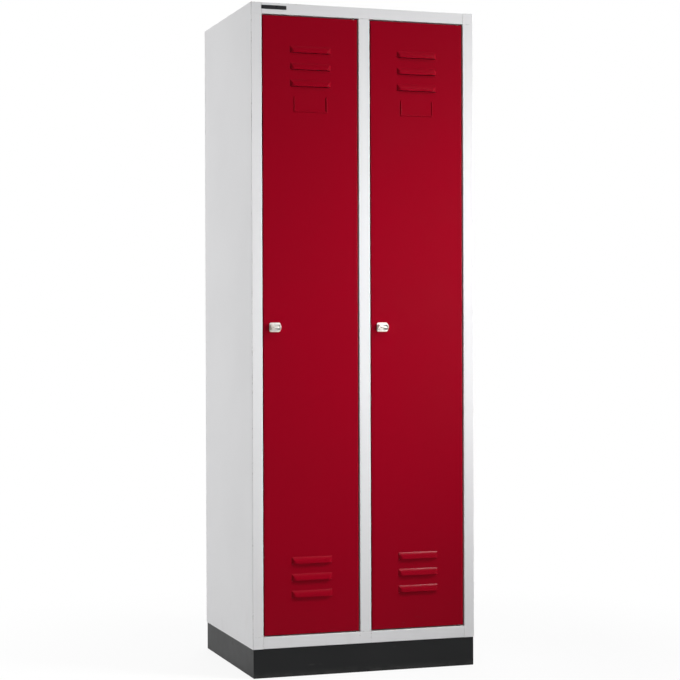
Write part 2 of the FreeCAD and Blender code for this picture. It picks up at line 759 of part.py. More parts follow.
def hood(centre, lip, wall):
    """Solid under a louvre's skin, set in from the outer skin by a wall and open into the door."""
    base = DOOR_FACE + DOOR_SHEET / 2 if wall == 0 else DOOR_FACE + DOOR_SHEET + LANCE_GAP
    bottom = lip if wall == 0 else lip - LANCE_GAP
    tip = DOOR_FACE - LOUVRE_REACH + wall

    def bow(length):
        """Centre and angle of the arc that rises from the door's face to the reach over a length."""
        radius = (length**2 + LOUVRE_REACH**2) / (2 * LOUVRE_REACH)
        middle = DOOR_FACE - LOUVRE_REACH + radius
        inner = radius - wall
        return middle, inner, math.acos(min(1.0, (middle - DOOR_FACE - wall) / inner))

    middle, radius, angle = bow(LOUVRE_HEIGHT)
    top = (middle - radius * math.cos(angle), lip + radius * math.sin(angle))
    halfway = (middle - radius * math.cos(angle / 2), lip + radius * math.sin(angle / 2))
    section = [
        ((base, bottom), (tip, bottom)),
        ((tip, bottom), (tip, lip)),
        ((tip, lip), halfway, top),
        (top, (base, top[1])),
        ((base, top[1]), (base, bottom)),
    ]
    if bottom == lip:
        del section[1]
    rise = prism(section, in_side, centre - LOUVRE_WIDTH / 2, centre + LOUVRE_WIDTH / 2)

    middle, radius, angle = bow(LOUVRE_END)
    shoulder = LOUVRE_WIDTH / 2 - LOUVRE_END
    end = shoulder + radius * math.sin(angle)
    end_y = middle - radius * math.cos(angle)
    halfway = (shoulder + radius * math.sin(angle / 2), middle - radius * math.cos(angle / 2))
    plan = [
        ((-end, base), (-end, end_y)),
        ((-end, end_y), (-halfway[0], halfway[1]), (-shoulder, tip)),
        ((-shoulder, tip), (shoulder, tip)),
        ((shoulder, tip), halfway, (end, end_y)),
        ((end, end_y), (end, base)),
        ((end, base), (-end, base)),
    ]
    ends = prism(plan, in_plan, bottom, lip + LOUVRE_HEIGHT)
    ends.translate(X_AXIS * centre)
    return rise.common(ends)


def label_frame(bay):
    """Raised half-round bead on three sides of the label's place, open at the top."""
    top = louvre_lips()[1][-1] - LABEL_DROP
    bottom = top - LABEL_HEIGHT
    radius = LABEL_BEAD_RADIUS
    inset = LABEL_WIDTH / 2 - radius
    frame = rod(radius, V(bay.door_centre - inset, DOOR_FACE, bottom + radius), X_AXIS, 2 * inset)
    for side in (-1, 1):
        foot = V(bay.door_centre + side * inset, DOOR_FACE, bottom + radius)
        upright = LABEL_HEIGHT - 2 * radius
        frame = frame.fuse(rod(radius, foot, Z_AXIS, upright)).fuse(Part.makeSphere(radius, foot))
        frame = frame.fuse(Part.makeSphere(radius, foot + Z_AXIS * upright))
    front_half = block(
        (bay.door_left, bay.door_right), (DOOR_FACE - 2 * radius, DOOR_FACE + DOOR_SHEET / 2), (bottom, top)
    )
    return frame.common(front_half)


def door_panel(bay):
    """Door pan folded to a lip all round, with louvres, label frame, and holes for the latch and pins."""
    xs = (bay.door_left, bay.door_right)
    outer = block(xs, (DOOR_FACE, DOOR_REAR), (DOOR_BOTTOM, DOOR_TOP))
    outer = outer.makeFillet(BEND_RADIUS + DOOR_SHEET, edges_in_plane(outer, Y_AXIS, DOOR_FACE))
    hollow_face = DOOR_FACE + DOOR_SHEET
    hollow = block(
        (xs[0] + DOOR_SHEET, xs[1] - DOOR_SHEET),
        (hollow_face, DOOR_REAR - DOOR_SHEET),
        (DOOR_BOTTOM + DOOR_SHEET, DOOR_TOP - DOOR_SHEET),
    )
    hollow = hollow.makeFillet(BEND_RADIUS, edges_in_plane(hollow, Y_AXIS, hollow_face))
    window = block(
        (xs[0] + DOOR_LIP, xs[1] - DOOR_LIP),
        (DOOR_REAR - 2 * DOOR_SHEET, DOOR_REAR + DOOR_SHEET),
        (DOOR_BOTTOM + DOOR_LIP, DOOR_TOP - DOOR_LIP),
    )
    panel = outer.cut(hollow).cut(window).fuse(label_frame(bay))
    low, high = louvre_lips()
    for lip in low + high:
        panel = panel.fuse(hood(bay.door_centre, lip, 0)).cut(hood(bay.door_centre, lip, DOOR_SHEET))
    latch_place = V(bay.latch_x, DOOR_FACE - EDGE_GAP, bay.latch_z)
    panel = panel.cut(rod(BARREL_RADIUS + STATIC_FIT, latch_place, Y_AXIS, DOOR_SHEET + 2 * EDGE_GAP))
    for end in (DOOR_BOTTOM, DOOR_TOP):
        start = V(bay.pivot_x, bay.pivot_y, end - DOOR_SHEET - EDGE_GAP)
        panel = panel.cut(rod(PIN_RADIUS + STATIC_FIT, start, Z_AXIS, 2 * (DOOR_SHEET + EDGE_GAP)))
    return panel.removeSplitter()


def door_stiffener(bay):
    """Upright channel on the inside of the skin, between the lower and the upper louvres."""
    half = STIFFENER_SHEET / 2
    skin = DOOR_FACE + DOOR_SHEET + half
    crown = DOOR_FACE + DOOR_SHEET + STIFFENER_DEPTH - half
    side = STIFFENER_WIDTH / 2 - half
    edge = STIFFENER_WIDTH / 2 + STIFFENER_FLANGE
    offsets = [(-edge, skin), (-side, skin), (-side, crown), (side, crown), (side, skin), (edge, skin)]
    path = [(bay.door_centre + x, y) for x, y in offsets]
    low, high = louvre_lips()
    start = low[-1] + LOUVRE_HEIGHT + STIFFENER_MARGIN
    return bent_sheet(path, STIFFENER_SHEET, in_plan, start, high[-1] - STIFFENER_MARGIN)


# Turn latch


def latch_housing(bay):
    """Face plate with two padlock ears and the threaded barrel through the door."""
    x, z = bay.latch_x, bay.latch_z
    plate = block(
        (x - PLATE_WIDTH / 2, x + PLATE_WIDTH / 2),
        (PLATE_FACE, DOOR_FACE),
        (z - PLATE_HEIGHT / 2, z + PLATE_HEIGHT / 2),
    )
    housing = plate.makeFillet(PLATE_CORNER, edges_along(plate, Y_AXIS))
    housing = housing.makeFillet(PLATE_EDGE, edges_in_plane(housing, Y_AXIS, PLATE_FACE))
    half = EAR_HEIGHT / 2
    outline = [
        ((DOOR_FACE, z - half), (EAR_CENTRE, z - half)),
        ((EAR_CENTRE, z - half), (EAR_CENTRE - half, z), (EAR_CENTRE, z + half)),
        ((EAR_CENTRE, z + half), (DOOR_FACE, z + half)),
        ((DOOR_FACE, z + half), (DOOR_FACE, z - half)),
    ]
    for side in (-1, 1):
        inner = x + side * EAR_GAP / 2
        outer = inner + side * EAR_THICKNESS
        ear = prism(outline, in_side, min(inner, outer), max(inner, outer))
        rims = edges_in_plane(ear, X_AXIS, inner) + edges_in_plane(ear, X_AXIS, outer)
        ear = ear.makeFillet(EAR_EDGE, rims)
        eye = V(min(inner, outer), EAR_CENTRE, z)
        housing = housing.fuse(ear.cut(rod(EYE_RADIUS, eye, X_AXIS, EAR_THICKNESS)))
    barrel_end = CAM_FACE - VANE_GAP
    barrel = rod(BARREL_RADIUS, V(x, DOOR_FACE, z), Y_AXIS, barrel_end - DOOR_FACE)
    bore = rod(SPINDLE_RADIUS + RUNNING_FIT, V(x, PLATE_FACE, z), Y_AXIS, barrel_end - PLATE_FACE)
    return housing.fuse(barrel).cut(bore).removeSplitter()


def latch_nut(bay):
    """Nut on the barrel that clamps the housing to the door."""
    seat = DOOR_FACE + DOOR_SHEET
    centre = (bay.latch_x, bay.latch_z)
    nut = hex_bar(BARREL_NUT_FLATS, centre, in_front, seat, seat + BARREL_NUT_HEIGHT)
    start = V(bay.latch_x, seat, bay.latch_z)
    return nut.cut(rod(BARREL_RADIUS + STATIC_FIT, start, Y_AXIS, BARREL_NUT_HEIGHT))


def latch_vane(bay):
    """Turning vane between the ears, with its base, spindle and square end. It lies level at rest."""
    x, z = bay.latch_x, bay.latch_z
    base_back = PLATE_FACE - VANE_GAP
    base_front = base_back - VANE_BASE_HEIGHT
    tip = PLATE_FACE - EAR_REACH + VANE_SHORTFALL
    reach = math.sqrt((EAR_GAP / 2 - VANE_GAP) ** 2 - (VANE_THICKNESS / 2) ** 2)
    round_centre = tip + VANE_CORNER
    cut = VANE_CORNER * (1 - math.sqrt(0.5))
    outline = [
        ((x - reach, base_back), (x - reach, round_centre)),
        ((x - reach, round_centre), (x - reach + cut, tip + cut), (x - reach + VANE_CORNER, tip)),
        ((x - reach + VANE_CORNER, tip), (x + reach - VANE_CORNER, tip)),
        ((x + reach - VANE_CORNER, tip), (x + reach - cut, tip + cut), (x + reach, round_centre)),
        ((x + reach, round_centre), (x + reach, base_back)),
        ((x + reach, base_back), (x - reach, base_back)),
    ]
    low, high = z - VANE_THICKNESS / 2, z + VANE_THICKNESS / 2
    wing = prism(outline, in_plan, low, high)
    wing = wing.makeFillet(VANE_EDGE, edges_in_plane(wing, Z_AXIS, low) + edges_in_plane(wing, Z_AXIS, high))
    eye = V(x, EAR_CENTRE, low)
    wing = wing.cut(rod(EYE_RADIUS, eye, Z_AXIS, VANE_THICKNESS))
    vane = wing.fuse(rod(VANE_BASE_RADIUS, V(x, base_front, z), Y_AXIS, VANE_BASE_HEIGHT))
    vane = vane.fuse(rod(SPINDLE_RADIUS, V(x, base_back, z), Y_AXIS, CAM_FACE - base_back))
    half = SQUARE_SIDE / 2
    vane = vane.fuse(block((x - half, x + half), (CAM_FACE, CAM_BACK), (z - half, z + half)))
    thread = rod(CAM_SCREW_RADIUS + STATIC_FIT, V(x, CAM_BACK, z), -Y_AXIS, CAM_SCREW_DEPTH + STATIC_FIT)
    return vane.cut(thread).removeSplitter()


def latch_cam(bay):
    """Cam on the spindle's square end. It hangs down at rest and turns behind the stop flange."""
    x, z = bay.latch_x, bay.latch_z
    half = CAM_WIDTH / 2
    top = z + CAM_TAIL - half
    low = z - CAM_LENGTH + half
    outline = [
        ((x - half, low), (x - half, top)),
        ((x - half, top), (x, top + half), (x + half, top)),
        ((x + half, top), (x + half, low)),
        ((x + half, low), (x, low - half), (x - half, low)),
    ]
    cam = prism(outline, in_front, CAM_FACE, CAM_BACK)
    side = SQUARE_SIDE / 2 + STATIC_FIT
    return cam.cut(block((x - side, x + side), (CAM_FACE, CAM_BACK), (z - side, z + side)))


def cam_screw(bay):
    """Screw that holds the cam on the spindle."""
    seat = V(bay.latch_x, CAM_BACK, bay.latch_z)
    screw = rod(CAM_SCREW_HEAD_RADIUS, seat, Y_AXIS, CAM_SCREW_HEAD_HEIGHT)
    return screw.fuse(rod(CAM_SCREW_RADIUS, seat, -Y_AXIS, CAM_SCREW_DEPTH)).removeSplitter()


# All nodes of the locker

NODES = {
    "left_side_panel": side_panel(-1),
    "right_side_panel": side_panel(1),
    "back_panel": back_panel(),
    "top_panel": top_panel(),
    "floor_panel": floor_panel(),
    "centre_partition": centre_partition(),
    "badge_plate": badge_plate(),
    "plinth_front": plinth_member((0, -1)),
    "plinth_rear": plinth_member((0, 1)),
    "plinth_left": plinth_member((-1, 0)),
    "plinth_right": plinth_member((1, 0)),
    "plinth_screws": plinth_screws(),
    "plinth_nuts": plinth_nuts(),
}

BAY_PARTS = {
    "hat_shelf": hat_shelf,
    "shelf_brackets": shelf_brackets,
    "coat_rail": coat_rail,
    "rail_cups": rail_cups,
    "hinge_bushes": hinge_bushes,
    "hinge_pins": hinge_pins,
    "door_buffers": door_buffers,
    "door_panel": door_panel,
    "door_stiffener": door_stiffener,
    "latch_housing": latch_housing,
    "latch_nut": latch_nut,
    "latch_vane": latch_vane,
    "latch_cam": latch_cam,
    "cam_screw": cam_screw,
}

for bay in BAYS:
    for part_name, make in BAY_PARTS.items():
        NODES[f"{bay.name}_{part_name}"] = make(bay)
    for number, place in enumerate(bay.hook_places()[0], start=1):
        NODES[f"{bay.name}_coat_hook_{number}"] = coat_hook(place)

os.makedirs("parts", exist_ok=True)
for node_name, shape in NODES.items():
    shape.exportStep(f"parts/{node_name}.step")
    print(node_name, len(shape.Solids), "solids", round(shape.Volume / 1000, 2), "cm3", shape.isValid())
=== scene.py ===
import functools
import json
import logging
import math
from abc import ABC, abstractmethod
from collections.abc import Mapping, Sequence
from dataclasses import dataclass
from enum import Enum
from types import MappingProxyType
from typing import Any, Union

import bmesh
import bpy
from mathutils import Matrix, Vector


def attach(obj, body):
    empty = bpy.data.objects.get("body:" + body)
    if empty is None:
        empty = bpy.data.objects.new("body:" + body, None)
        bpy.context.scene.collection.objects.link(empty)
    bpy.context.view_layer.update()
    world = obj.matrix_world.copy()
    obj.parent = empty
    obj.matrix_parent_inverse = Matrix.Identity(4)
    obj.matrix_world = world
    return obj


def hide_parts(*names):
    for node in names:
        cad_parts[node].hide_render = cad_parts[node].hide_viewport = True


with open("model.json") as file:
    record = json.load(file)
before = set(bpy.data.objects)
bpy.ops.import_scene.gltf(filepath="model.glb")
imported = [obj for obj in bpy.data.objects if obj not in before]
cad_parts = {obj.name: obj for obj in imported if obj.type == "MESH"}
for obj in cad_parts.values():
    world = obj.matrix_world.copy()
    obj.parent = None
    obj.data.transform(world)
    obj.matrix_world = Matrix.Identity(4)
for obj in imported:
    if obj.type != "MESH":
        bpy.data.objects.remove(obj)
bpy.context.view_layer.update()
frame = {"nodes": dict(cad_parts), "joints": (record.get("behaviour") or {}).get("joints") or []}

log = logging.getLogger("locker")

Colour = tuple[float, float, float]
Place = tuple[float, float, float]
Pair = tuple[float, float]
Outline = Sequence[Pair]
Operand = Union["Signal", float]
Tint = Union["Signal", Colour]
SocketValue = Union["Signal", float, Sequence[float]]
Sockets = Mapping[Union[str, int], SocketValue]
Settings = Mapping[str, Any]
Axes = tuple["Signal", "Signal", "Signal"]

NOTHING: Mapping[Any, Any] = MappingProxyType({})
ALIKE: Place = (1.0, 1.0, 1.0)
WHITE = (1.0, 1.0, 1.0, 1.0)
NOISE_MEAN = 0.5


class Side(Enum):
    """The two compartments, seen from the front."""

    LEFT = "left"
    RIGHT = "right"

    def named(self, name: str) -> str:
        """Name of a node, body, joint or piece of this compartment."""
        return f"{self.value}_{name}"


class Turn(Enum):
    """Where the axis of a turned or six-sided piece points."""

    UP = Matrix.Identity(4)
    DOWN = Matrix.Rotation(math.pi, 4, "X")
    TO_BACK = Matrix.Rotation(-math.pi / 2, 4, "X")
    TO_FRONT = Matrix.Rotation(math.pi / 2, 4, "X")
    TO_RIGHT = Matrix.Rotation(math.pi / 2, 4, "Y")
    TO_LEFT = Matrix.Rotation(-math.pi / 2, 4, "Y")


class Slot(Enum):
    """Material slots of the record."""

    GREY = "body_grey"
    RED = "door_red"
    DARK = "plinth_dark"
    PLATE = "badge_dark"
    ZINC = "zinc_steel"
    NICKEL = "latch_nickel"
    CHROME = "rail_chrome"
    NYLON = "black_nylon"
    RUBBER = "black_rubber"


class Signal:
    """A shader socket that takes part in Python arithmetic."""

    def __init__(self, recipe: "Recipe", socket: bpy.types.NodeSocket) -> None:
        """Keep the socket and the recipe whose nodes it feeds."""
        self.recipe = recipe
        self.socket = socket

    def _math(self, operation: str, *operands: Operand) -> "Signal":
        """Result of a Math node on the operands."""
        settings = {"operation": operation}
        return self.recipe.signal("ShaderNodeMath", settings, dict(enumerate(operands)))

    def __add__(self, other: Operand) -> "Signal":
        """Sum of two values."""
        return self._math("ADD", self, other)

    __radd__ = __add__

    def __sub__(self, other: Operand) -> "Signal":
        """Difference of two values."""
        return self._math("SUBTRACT", self, other)

    def __rsub__(self, other: Operand) -> "Signal":
        """Difference with the number in front."""
        return self._math("SUBTRACT", other, self)

    def __mul__(self, other: Operand) -> "Signal":
        """Product of two values."""
        return self._math("MULTIPLY", self, other)

    __rmul__ = __mul__

    def __abs__(self) -> "Signal":
        """Size of a value without its sign."""
        return self._math("ABSOLUTE", self)

    def least(self, other: Operand) -> "Signal":
        """Smaller of two values."""
        return self._math("MINIMUM", self, other)

    def most(self, other: Operand) -> "Signal":
        """Larger of two values."""
        return self._math("MAXIMUM", self, other)

    def swing(self, pitch: float) -> "Signal":
        """Distance from the nearest whole multiple of a pitch."""
        return self._math("PINGPONG", self, pitch / 2)

    def band(self, start: float, end: float) -> "Signal":
        """Smooth rise from 0 at the start to 1 at the end.

        Args:
            start: Value that gives 0.
            end: Value that gives 1, above or below the start.

        Returns:
            A value between 0 and 1.
        """
        limits = {"From Min": start, "From Max": end}
        settings = {"interpolation_type": "SMOOTHSTEP"}
        return self.recipe.signal("ShaderNodeMapRange", settings, {"Value": self, **limits})


class Recipe:
    """The node tree of one finish, of the floor or of the world."""

    # A Mix node repeats its socket names for each kind of data, so its colours go by number.
    MIX_SHARE, MIX_FIRST, MIX_SECOND, MIXED = 0, 6, 7, 2

    def __init__(self, owner: Union[bpy.types.Material, bpy.types.World]) -> None:
        """Start from an empty tree.

        Args:
            owner: The material or world that gets the nodes.
        """
        owner.use_nodes = True
        self.tree = owner.node_tree
        self.tree.nodes.clear()

    def node(
        self, kind: str, settings: Settings = NOTHING, sockets: Sockets = NOTHING
    ) -> bpy.types.Node:
        """Add one node.

        Args:
            kind: Blender's type of the node.
            settings: Properties of the node, which are set first.
            sockets: Values or signals for its inputs, by name or number.

        Returns:
            The new node.
        """
        made = self.tree.nodes.new(kind)
        for name, value in settings.items():
            setattr(made, name, value)
        for key, value in sockets.items():
            if isinstance(value, Signal):
                self.tree.links.new(value.socket, made.inputs[key])
            else:
                made.inputs[key].default_value = value
        return made

    def signal(
        self,
        kind: str,
        settings: Settings = NOTHING,
        sockets: Sockets = NOTHING,
        output: Union[str, int] = 0,
    ) -> Signal:
        """Add one node and take one of its outputs.

        Args:
            kind: Blender's type of the node.
            settings: Properties of the node.
            sockets: Values or signals for its inputs.
            output: Name or number of the output.

        Returns:
            The output as a signal.
        """
        return Signal(self, self.node(kind, settings, sockets).outputs[output])

    def place(self) -> Signal:
        """Object coordinates, which are the frame's own metres."""
        return self.signal("ShaderNodeTexCoord", output="Object")

    def axes(self) -> Axes:
        """X, Y and Z of the surface, in metres."""
        return self._split(self.place())

    def facing(self) -> Axes:
        """X, Y and Z of the direction that the surface faces."""
        return self._split(self.signal("ShaderNodeTexCoord", output="Normal"))

    def _split(self, vector: Signal) -> Axes:
        """X, Y and Z of a vector."""
        x, y, z = self.node("ShaderNodeSeparateXYZ", sockets={"Vector": vector}).outputs
        return Signal(self, x), Signal(self, y), Signal(self, z)

    def grain(self, size: float, detail: float, stretch: Place = ALIKE) -> Signal:
        """Noise around its mean.

        Args:
            size: Size of its lumps, in metres.
            detail: How many finer layers are on it.
            stretch: Share of the pattern's rate along each axis; a small share makes long lines.

        Returns:
            The noise value.
        """
        sockets = {"Vector": self.place(), "Scale": stretch}
        spread = self.signal("ShaderNodeMapping", sockets=sockets)
        sockets = {"Vector": spread, "Scale": 1 / size, "Detail": detail}
        return self.signal("ShaderNodeTexNoise", sockets=sockets)

    def cells(self, size: float) -> Signal:
        """A random shade for each cell of a pattern.

        Args:
            size: About the size of its cells, in metres.

        Returns:
            A value between 0 and 1.
        """
        sockets = {"Vector": self.place(), "Scale": 1 / size}
        colour = self.signal("ShaderNodeTexVoronoi", sockets=sockets, output="Color")
        return self.signal("ShaderNodeSeparateColor", sockets={"Color": colour}, output="Red")

    def blend(self, share: Operand, first: Tint, second: Tint) -> Signal:
        """Mix of two colours.

        Args:
            share: Share of the second one.
            first: Colour at 0.
            second: Colour at 1.

        Returns:
            The mixed colour.
        """
        colours = [c if isinstance(c, Signal) else (*c, 1.0) for c in (first, second)]
        keys = (self.MIX_SHARE, self.MIX_FIRST, self.MIX_SECOND)
        sockets = dict(zip(keys, (share, *colours)))
        return self.signal("ShaderNodeMix", {"data_type": "RGBA"}, sockets, self.MIXED)

    def cross(self, share: Signal, first: Signal, second: Signal) -> Signal:
        """Mix of two shaders, by the share of the second one."""
        return self.signal("ShaderNodeMixShader", sockets=dict(enumerate((share, first, second))))

    def relief(self, height: Signal) -> Signal:
        """Normal of a surface raised by a height in metres."""
        sockets = {"Strength": 1.0, "Distance": 1.0, "Height": height}
        return self.signal("ShaderNodeBump", sockets=sockets)

    def surface(self, sockets: Sockets) -> None:
        """Shade the material with one principled shader.

        Args:
            sockets: Values or signals for the shader's inputs.
        """
        shader = self.signal("ShaderNodeBsdfPrincipled", sockets=sockets)
        self.node("ShaderNodeOutputMaterial", sockets={"Surface": shader})


@dataclass(frozen=True)
class Speckle:
    """Noise, with the limits between which its lumps become soft-edged spots."""

    size: float
    detail: float
    limits: Pair
    stretch: Place = ALIKE

    def noise(self, recipe: Recipe) -> Signal:
        """The noise itself."""
        return recipe.grain(self.size, self.detail, self.stretch)

    def spots(self, recipe: Recipe) -> Signal:
        """Share of the spots: 0 between them, 1 inside."""
        return self.noise(recipe).band(*self.limits)


@dataclass(frozen=True)
class Spot:
    """A point of a painted surface: the paint's recipe, and X, Y and Z in metres."""

    recipe: Recipe
    x: Signal
    y: Signal
    z: Signal


class Finish(ABC):
    """What covers a piece, for one material slot of the record."""

    name: str
    slot: Slot

    @abstractmethod
    def mix(self, recipe: Recipe) -> None:
        """Put the finish's nodes into an empty recipe."""


@functools.cache
def material_of(finish: Finish) -> bpy.types.Material:
    """Material of a finish, made once.

    Args:
        finish: The finish.

    Returns:
        Its material.
    """
    made = bpy.data.materials.new(finish.name)
    finish.mix(Recipe(made))
    return made


@dataclass(frozen=True)
class PowderCoat(Finish):
    """Baked powder paint on folded sheet: orange peel, slow waves, smudges and thin folds."""

    name: str
    slot: Slot
    colour: Colour
    patch: Colour
    bare: Colour
    # Colour of dirt; on the body it also darkens the spot-weld dimples as painted shade.
    grime_and_shade: Colour
    roughness: float
    shine: float = 0.5
    patches: Speckle = Speckle(0.3, 2.0, (0.35, 0.7))
    patch_share: float = 0.5
    patch_roughness: float = 0.12
    smudges: Speckle = Speckle(0.035, 3.0, (0.42, 0.66))
    cloud_roughness: float = 0.06
    smudge_roughness: float = 0.02
    chip_reach: Pair = (0.0021, 0.0006)
    chips: Speckle = Speckle(0.0035, 3.0, (0.52, 0.6))
    chipped_runs: Speckle = Speckle(0.11, 2.0, (0.5, 0.62))
    chip_roughness: float = 0.1
    chip_depth: float = 4e-5
    mark_share: float = 0.4
    mark_roughness: float = 0.16
    # Share of that colour laid in the spot-weld dimples as painted shade, on top of their bump.
    dimple_shade_share: float = 0.3
    dent_depth: float = 4e-4
    peel_size: float = 0.0026
    peel_detail: float = 1.0
    peel_height: float = 7e-6
    wave_size: float = 0.24
    wave_detail: float = 0.0
    wave_height: float = 3e-4

    @abstractmethod
    def fold(self, at: Spot) -> Signal:
        """Distance from the folds where the paint wears first, in metres."""

    @abstractmethod
    def marks(self, at: Spot) -> Signal:
        """Share of dirt and rubbing on the surface."""

    def touch(self, at: Spot) -> Operand:
        """Share of handling, where hands dull the paint."""
        return 0.0

    def dents(self, at: Spot) -> Operand:
        """Share of the marks that the sheet carries from being joined."""
        return 0.0

    def mix(self, recipe: Recipe) -> None:
        """Put the paint's nodes into an empty recipe.

        Args:
            recipe: The recipe.
        """
        at = Spot(recipe, *recipe.axes())
        broad, cloud = self.patches.noise(recipe), self.smudges.noise(recipe)
        chip = (
            self.fold(at).band(*self.chip_reach)
            * self.chips.spots(recipe)
            * self.chipped_runs.spots(recipe)
        )
        marks, dents = self.marks(at), self.dents(at)
        patch = broad.band(*self.patches.limits) * self.patch_share
        colour = recipe.blend(patch, self.colour, self.patch)
        # Dirt from the marks, plus painted shade that darkens the spot-weld dimples.
        dirt_and_shade = marks * self.mark_share + dents * self.dimple_shade_share
        colour = recipe.blend(dirt_and_shade, colour, self.grime_and_shade)
        colour = recipe.blend(chip, colour, self.bare)
        smudge = cloud.band(*self.smudges.limits) * self.touch(at)
        roughness = (
            self.roughness
            + (broad - NOISE_MEAN) * self.patch_roughness
            + (cloud - NOISE_MEAN) * self.cloud_roughness
            + smudge * self.smudge_roughness
            + marks * self.mark_roughness
            + chip * self.chip_roughness
        )
        peel = recipe.grain(self.peel_size, self.peel_detail) * self.peel_height
        wave = recipe.grain(self.wave_size, self.wave_detail) * self.wave_height
        height = peel + wave - chip * self.chip_depth - dents * self.dent_depth
        recipe.surface(
            {
                "Base Color": colour,
                "Roughness": roughness,
                "Specular IOR Level": self.shine,
                "Normal": recipe.relief(height),
            }
        )


@dataclass(frozen=True)
class BodyPaint(PowderCoat):
    """Paint of the body: worn on the folds round the doors, rubbed near the floor, dusty on top,
    with painted shade in its spot-weld dimples.
    """

    half_width: float = 0.3175
    front: float = -0.25
    back: float = 0.25
    top: float = 1.8
    jambs: Pair = (0.288, 0.016)
    rails: Pair = (1.77, 0.11)
    facing_up: Pair = (0.6, 0.95)
    dust_rise: Pair = (1.79, 1.798)
    dust: Speckle = Speckle(0.018, 5.0, (0.3, 0.7))
    dust_share: float = 0.4
    rub_fall: Pair = (0.30, 0.09)
    rubs: Speckle = Speckle(0.03, 4.0, (0.55, 0.75), (1.0, 1.0, 0.35))
    rub_share: float = 0.25
    weld_columns: Pair = (0.31, 0.0075)
    weld_pitch: float = 0.12
    weld_radii: Pair = (0.004, 0.0015)
    weld_skin: Pair = (0.0004, 0.0001)

    def fold(self, at: Spot) -> Signal:
        """Distance from the front folds of the stiles, the post and the rails.

        Args:
            at: Where on the surface.

        Returns:
            The distance in metres.
        """
        (stile, post), (upper, lower) = self.jambs, self.rails
        across = abs(at.x)
        upright = (self.half_width - across).least(abs(across - stile)).least(abs(across - post))
        level = (self.top - at.z).least(abs(at.z - upper)).least(abs(at.z - lower))
        return upright.least(level) + (at.y - self.front)

    def marks(self, at: Spot) -> Signal:
        """Dust on the top, and light rubbing low on the walls.

        Args:
            at: Where on the surface.

        Returns:
            Their share, between 0 and 1.
        """
        upward = at.recipe.facing()[2].band(*self.facing_up)
        dust = upward * at.z.band(*self.dust_rise) * self.dust.spots(at.recipe)
        rubs = at.z.band(*self.rub_fall) * self.rubs.spots(at.recipe)
        return (dust * self.dust_share + rubs * self.rub_share).least(1.0)

    def dents(self, at: Spot) -> Signal:
        """Spot welds along the flanges behind the back and under the sides of the top.

        Args:
            at: Where on the surface.

        Returns:
            Their share, between 0 and 1.
        """
        edge, middle = self.weld_columns
        outer = abs(abs(at.x) - edge)
        upright = outer.least(abs(at.x - middle))
        behind = self._welds(upright, at.z, at.y, self.back)
        above = self._welds(outer, at.y, at.z, self.top)
        return behind + above

    def _welds(self, aside: Signal, along: Signal, depth: Signal, face: float) -> Signal:
        """Round marks in a row, on one face of the body.

        Args:
            aside: Distance from the line of the marks.
            along: Place along that line.
            depth: Place across the face.
            face: Where the face lies.

        Returns:
            A value of 1 inside a mark and 0 outside.
        """
        (rim, floor), (inner, outer) = self.weld_radii, self.weld_skin
        step = along.swing(self.weld_pitch)
        round_mark = (aside * aside + step * step).band(rim * rim, floor * floor)
        return round_mark * depth.band(face - inner, face - outer)


@dataclass(frozen=True)
class DoorPaint(PowderCoat):
    """Paint of the doors: thin along the outline, smudged round the latch, scuffed below."""

    centre: float = 0.152
    half_width: float = 0.133
    middle: float = 0.94
    half_height: float = 0.827
    face: float = -0.249
    scuff_fall: Pair = (0.24, 0.12)
    scuffs: Speckle = Speckle(0.018, 4.0, (0.62, 0.78), (0.4, 1.0, 1.0))
    scuff_share: float = 0.5
    latches: Pair = (-0.254, 0.05)
    latch_height: float = 0.935
    hand_reach: Pair = (0.14, 0.03)

    def fold(self, at: Spot) -> Signal:
        """Distance from the front outline of either door."""
        side = self.half_width - abs(abs(at.x) - self.centre)
        return side.least(self.half_height - abs(at.z - self.middle)) + (at.y - self.face).most(0.0)

    def marks(self, at: Spot) -> Signal:
        """Faint scuffs above the bottom edge."""
        return at.z.band(*self.scuff_fall) * self.scuffs.spots(at.recipe) * self.scuff_share

    def touch(self, at: Spot) -> Signal:
        """Handling round the latches."""
        aside = abs(at.x - self.latches[0]).least(abs(at.x - self.latches[1]))
        return (aside + abs(at.z - self.latch_height)).band(*self.hand_reach)


@dataclass(frozen=True)
class PlinthPaint(PowderCoat):
    """Dark paint of the plinth, scuffed by shoes and dusty along the floor."""

    half_width: float = 0.3155
    half_depth: float = 0.248
    height: float = 0.078
    dust_fall: Pair = (0.02, 0.001)
    dust: Speckle = Speckle(0.02, 4.0, (0.3, 0.6))
    dust_share: float = 0.6
    scuffs: Speckle = Speckle(0.012, 3.0, (0.64, 0.74), (0.25, 0.25, 1.0))
    scuff_share: float = 0.5

    def fold(self, at: Spot) -> Signal:
        """Distance from the upright corners and the upper and lower folds.

        Args:
            at: Where on the surface.

        Returns:
            The distance in metres.
        """
        side, end = self.half_width - abs(at.x), self.half_depth - abs(at.y)
        wall = side.least(end)
        return (side + end).least(wall + at.z).least(wall + (self.height - at.z))

    def marks(self, at: Spot) -> Signal:
        """Dust along the floor and level shoe marks."""
        dust = at.z.band(*self.dust_fall) * self.dust.spots(at.recipe) * self.dust_share
        return (dust + self.scuffs.spots(at.recipe) * self.scuff_share).least(1.0)


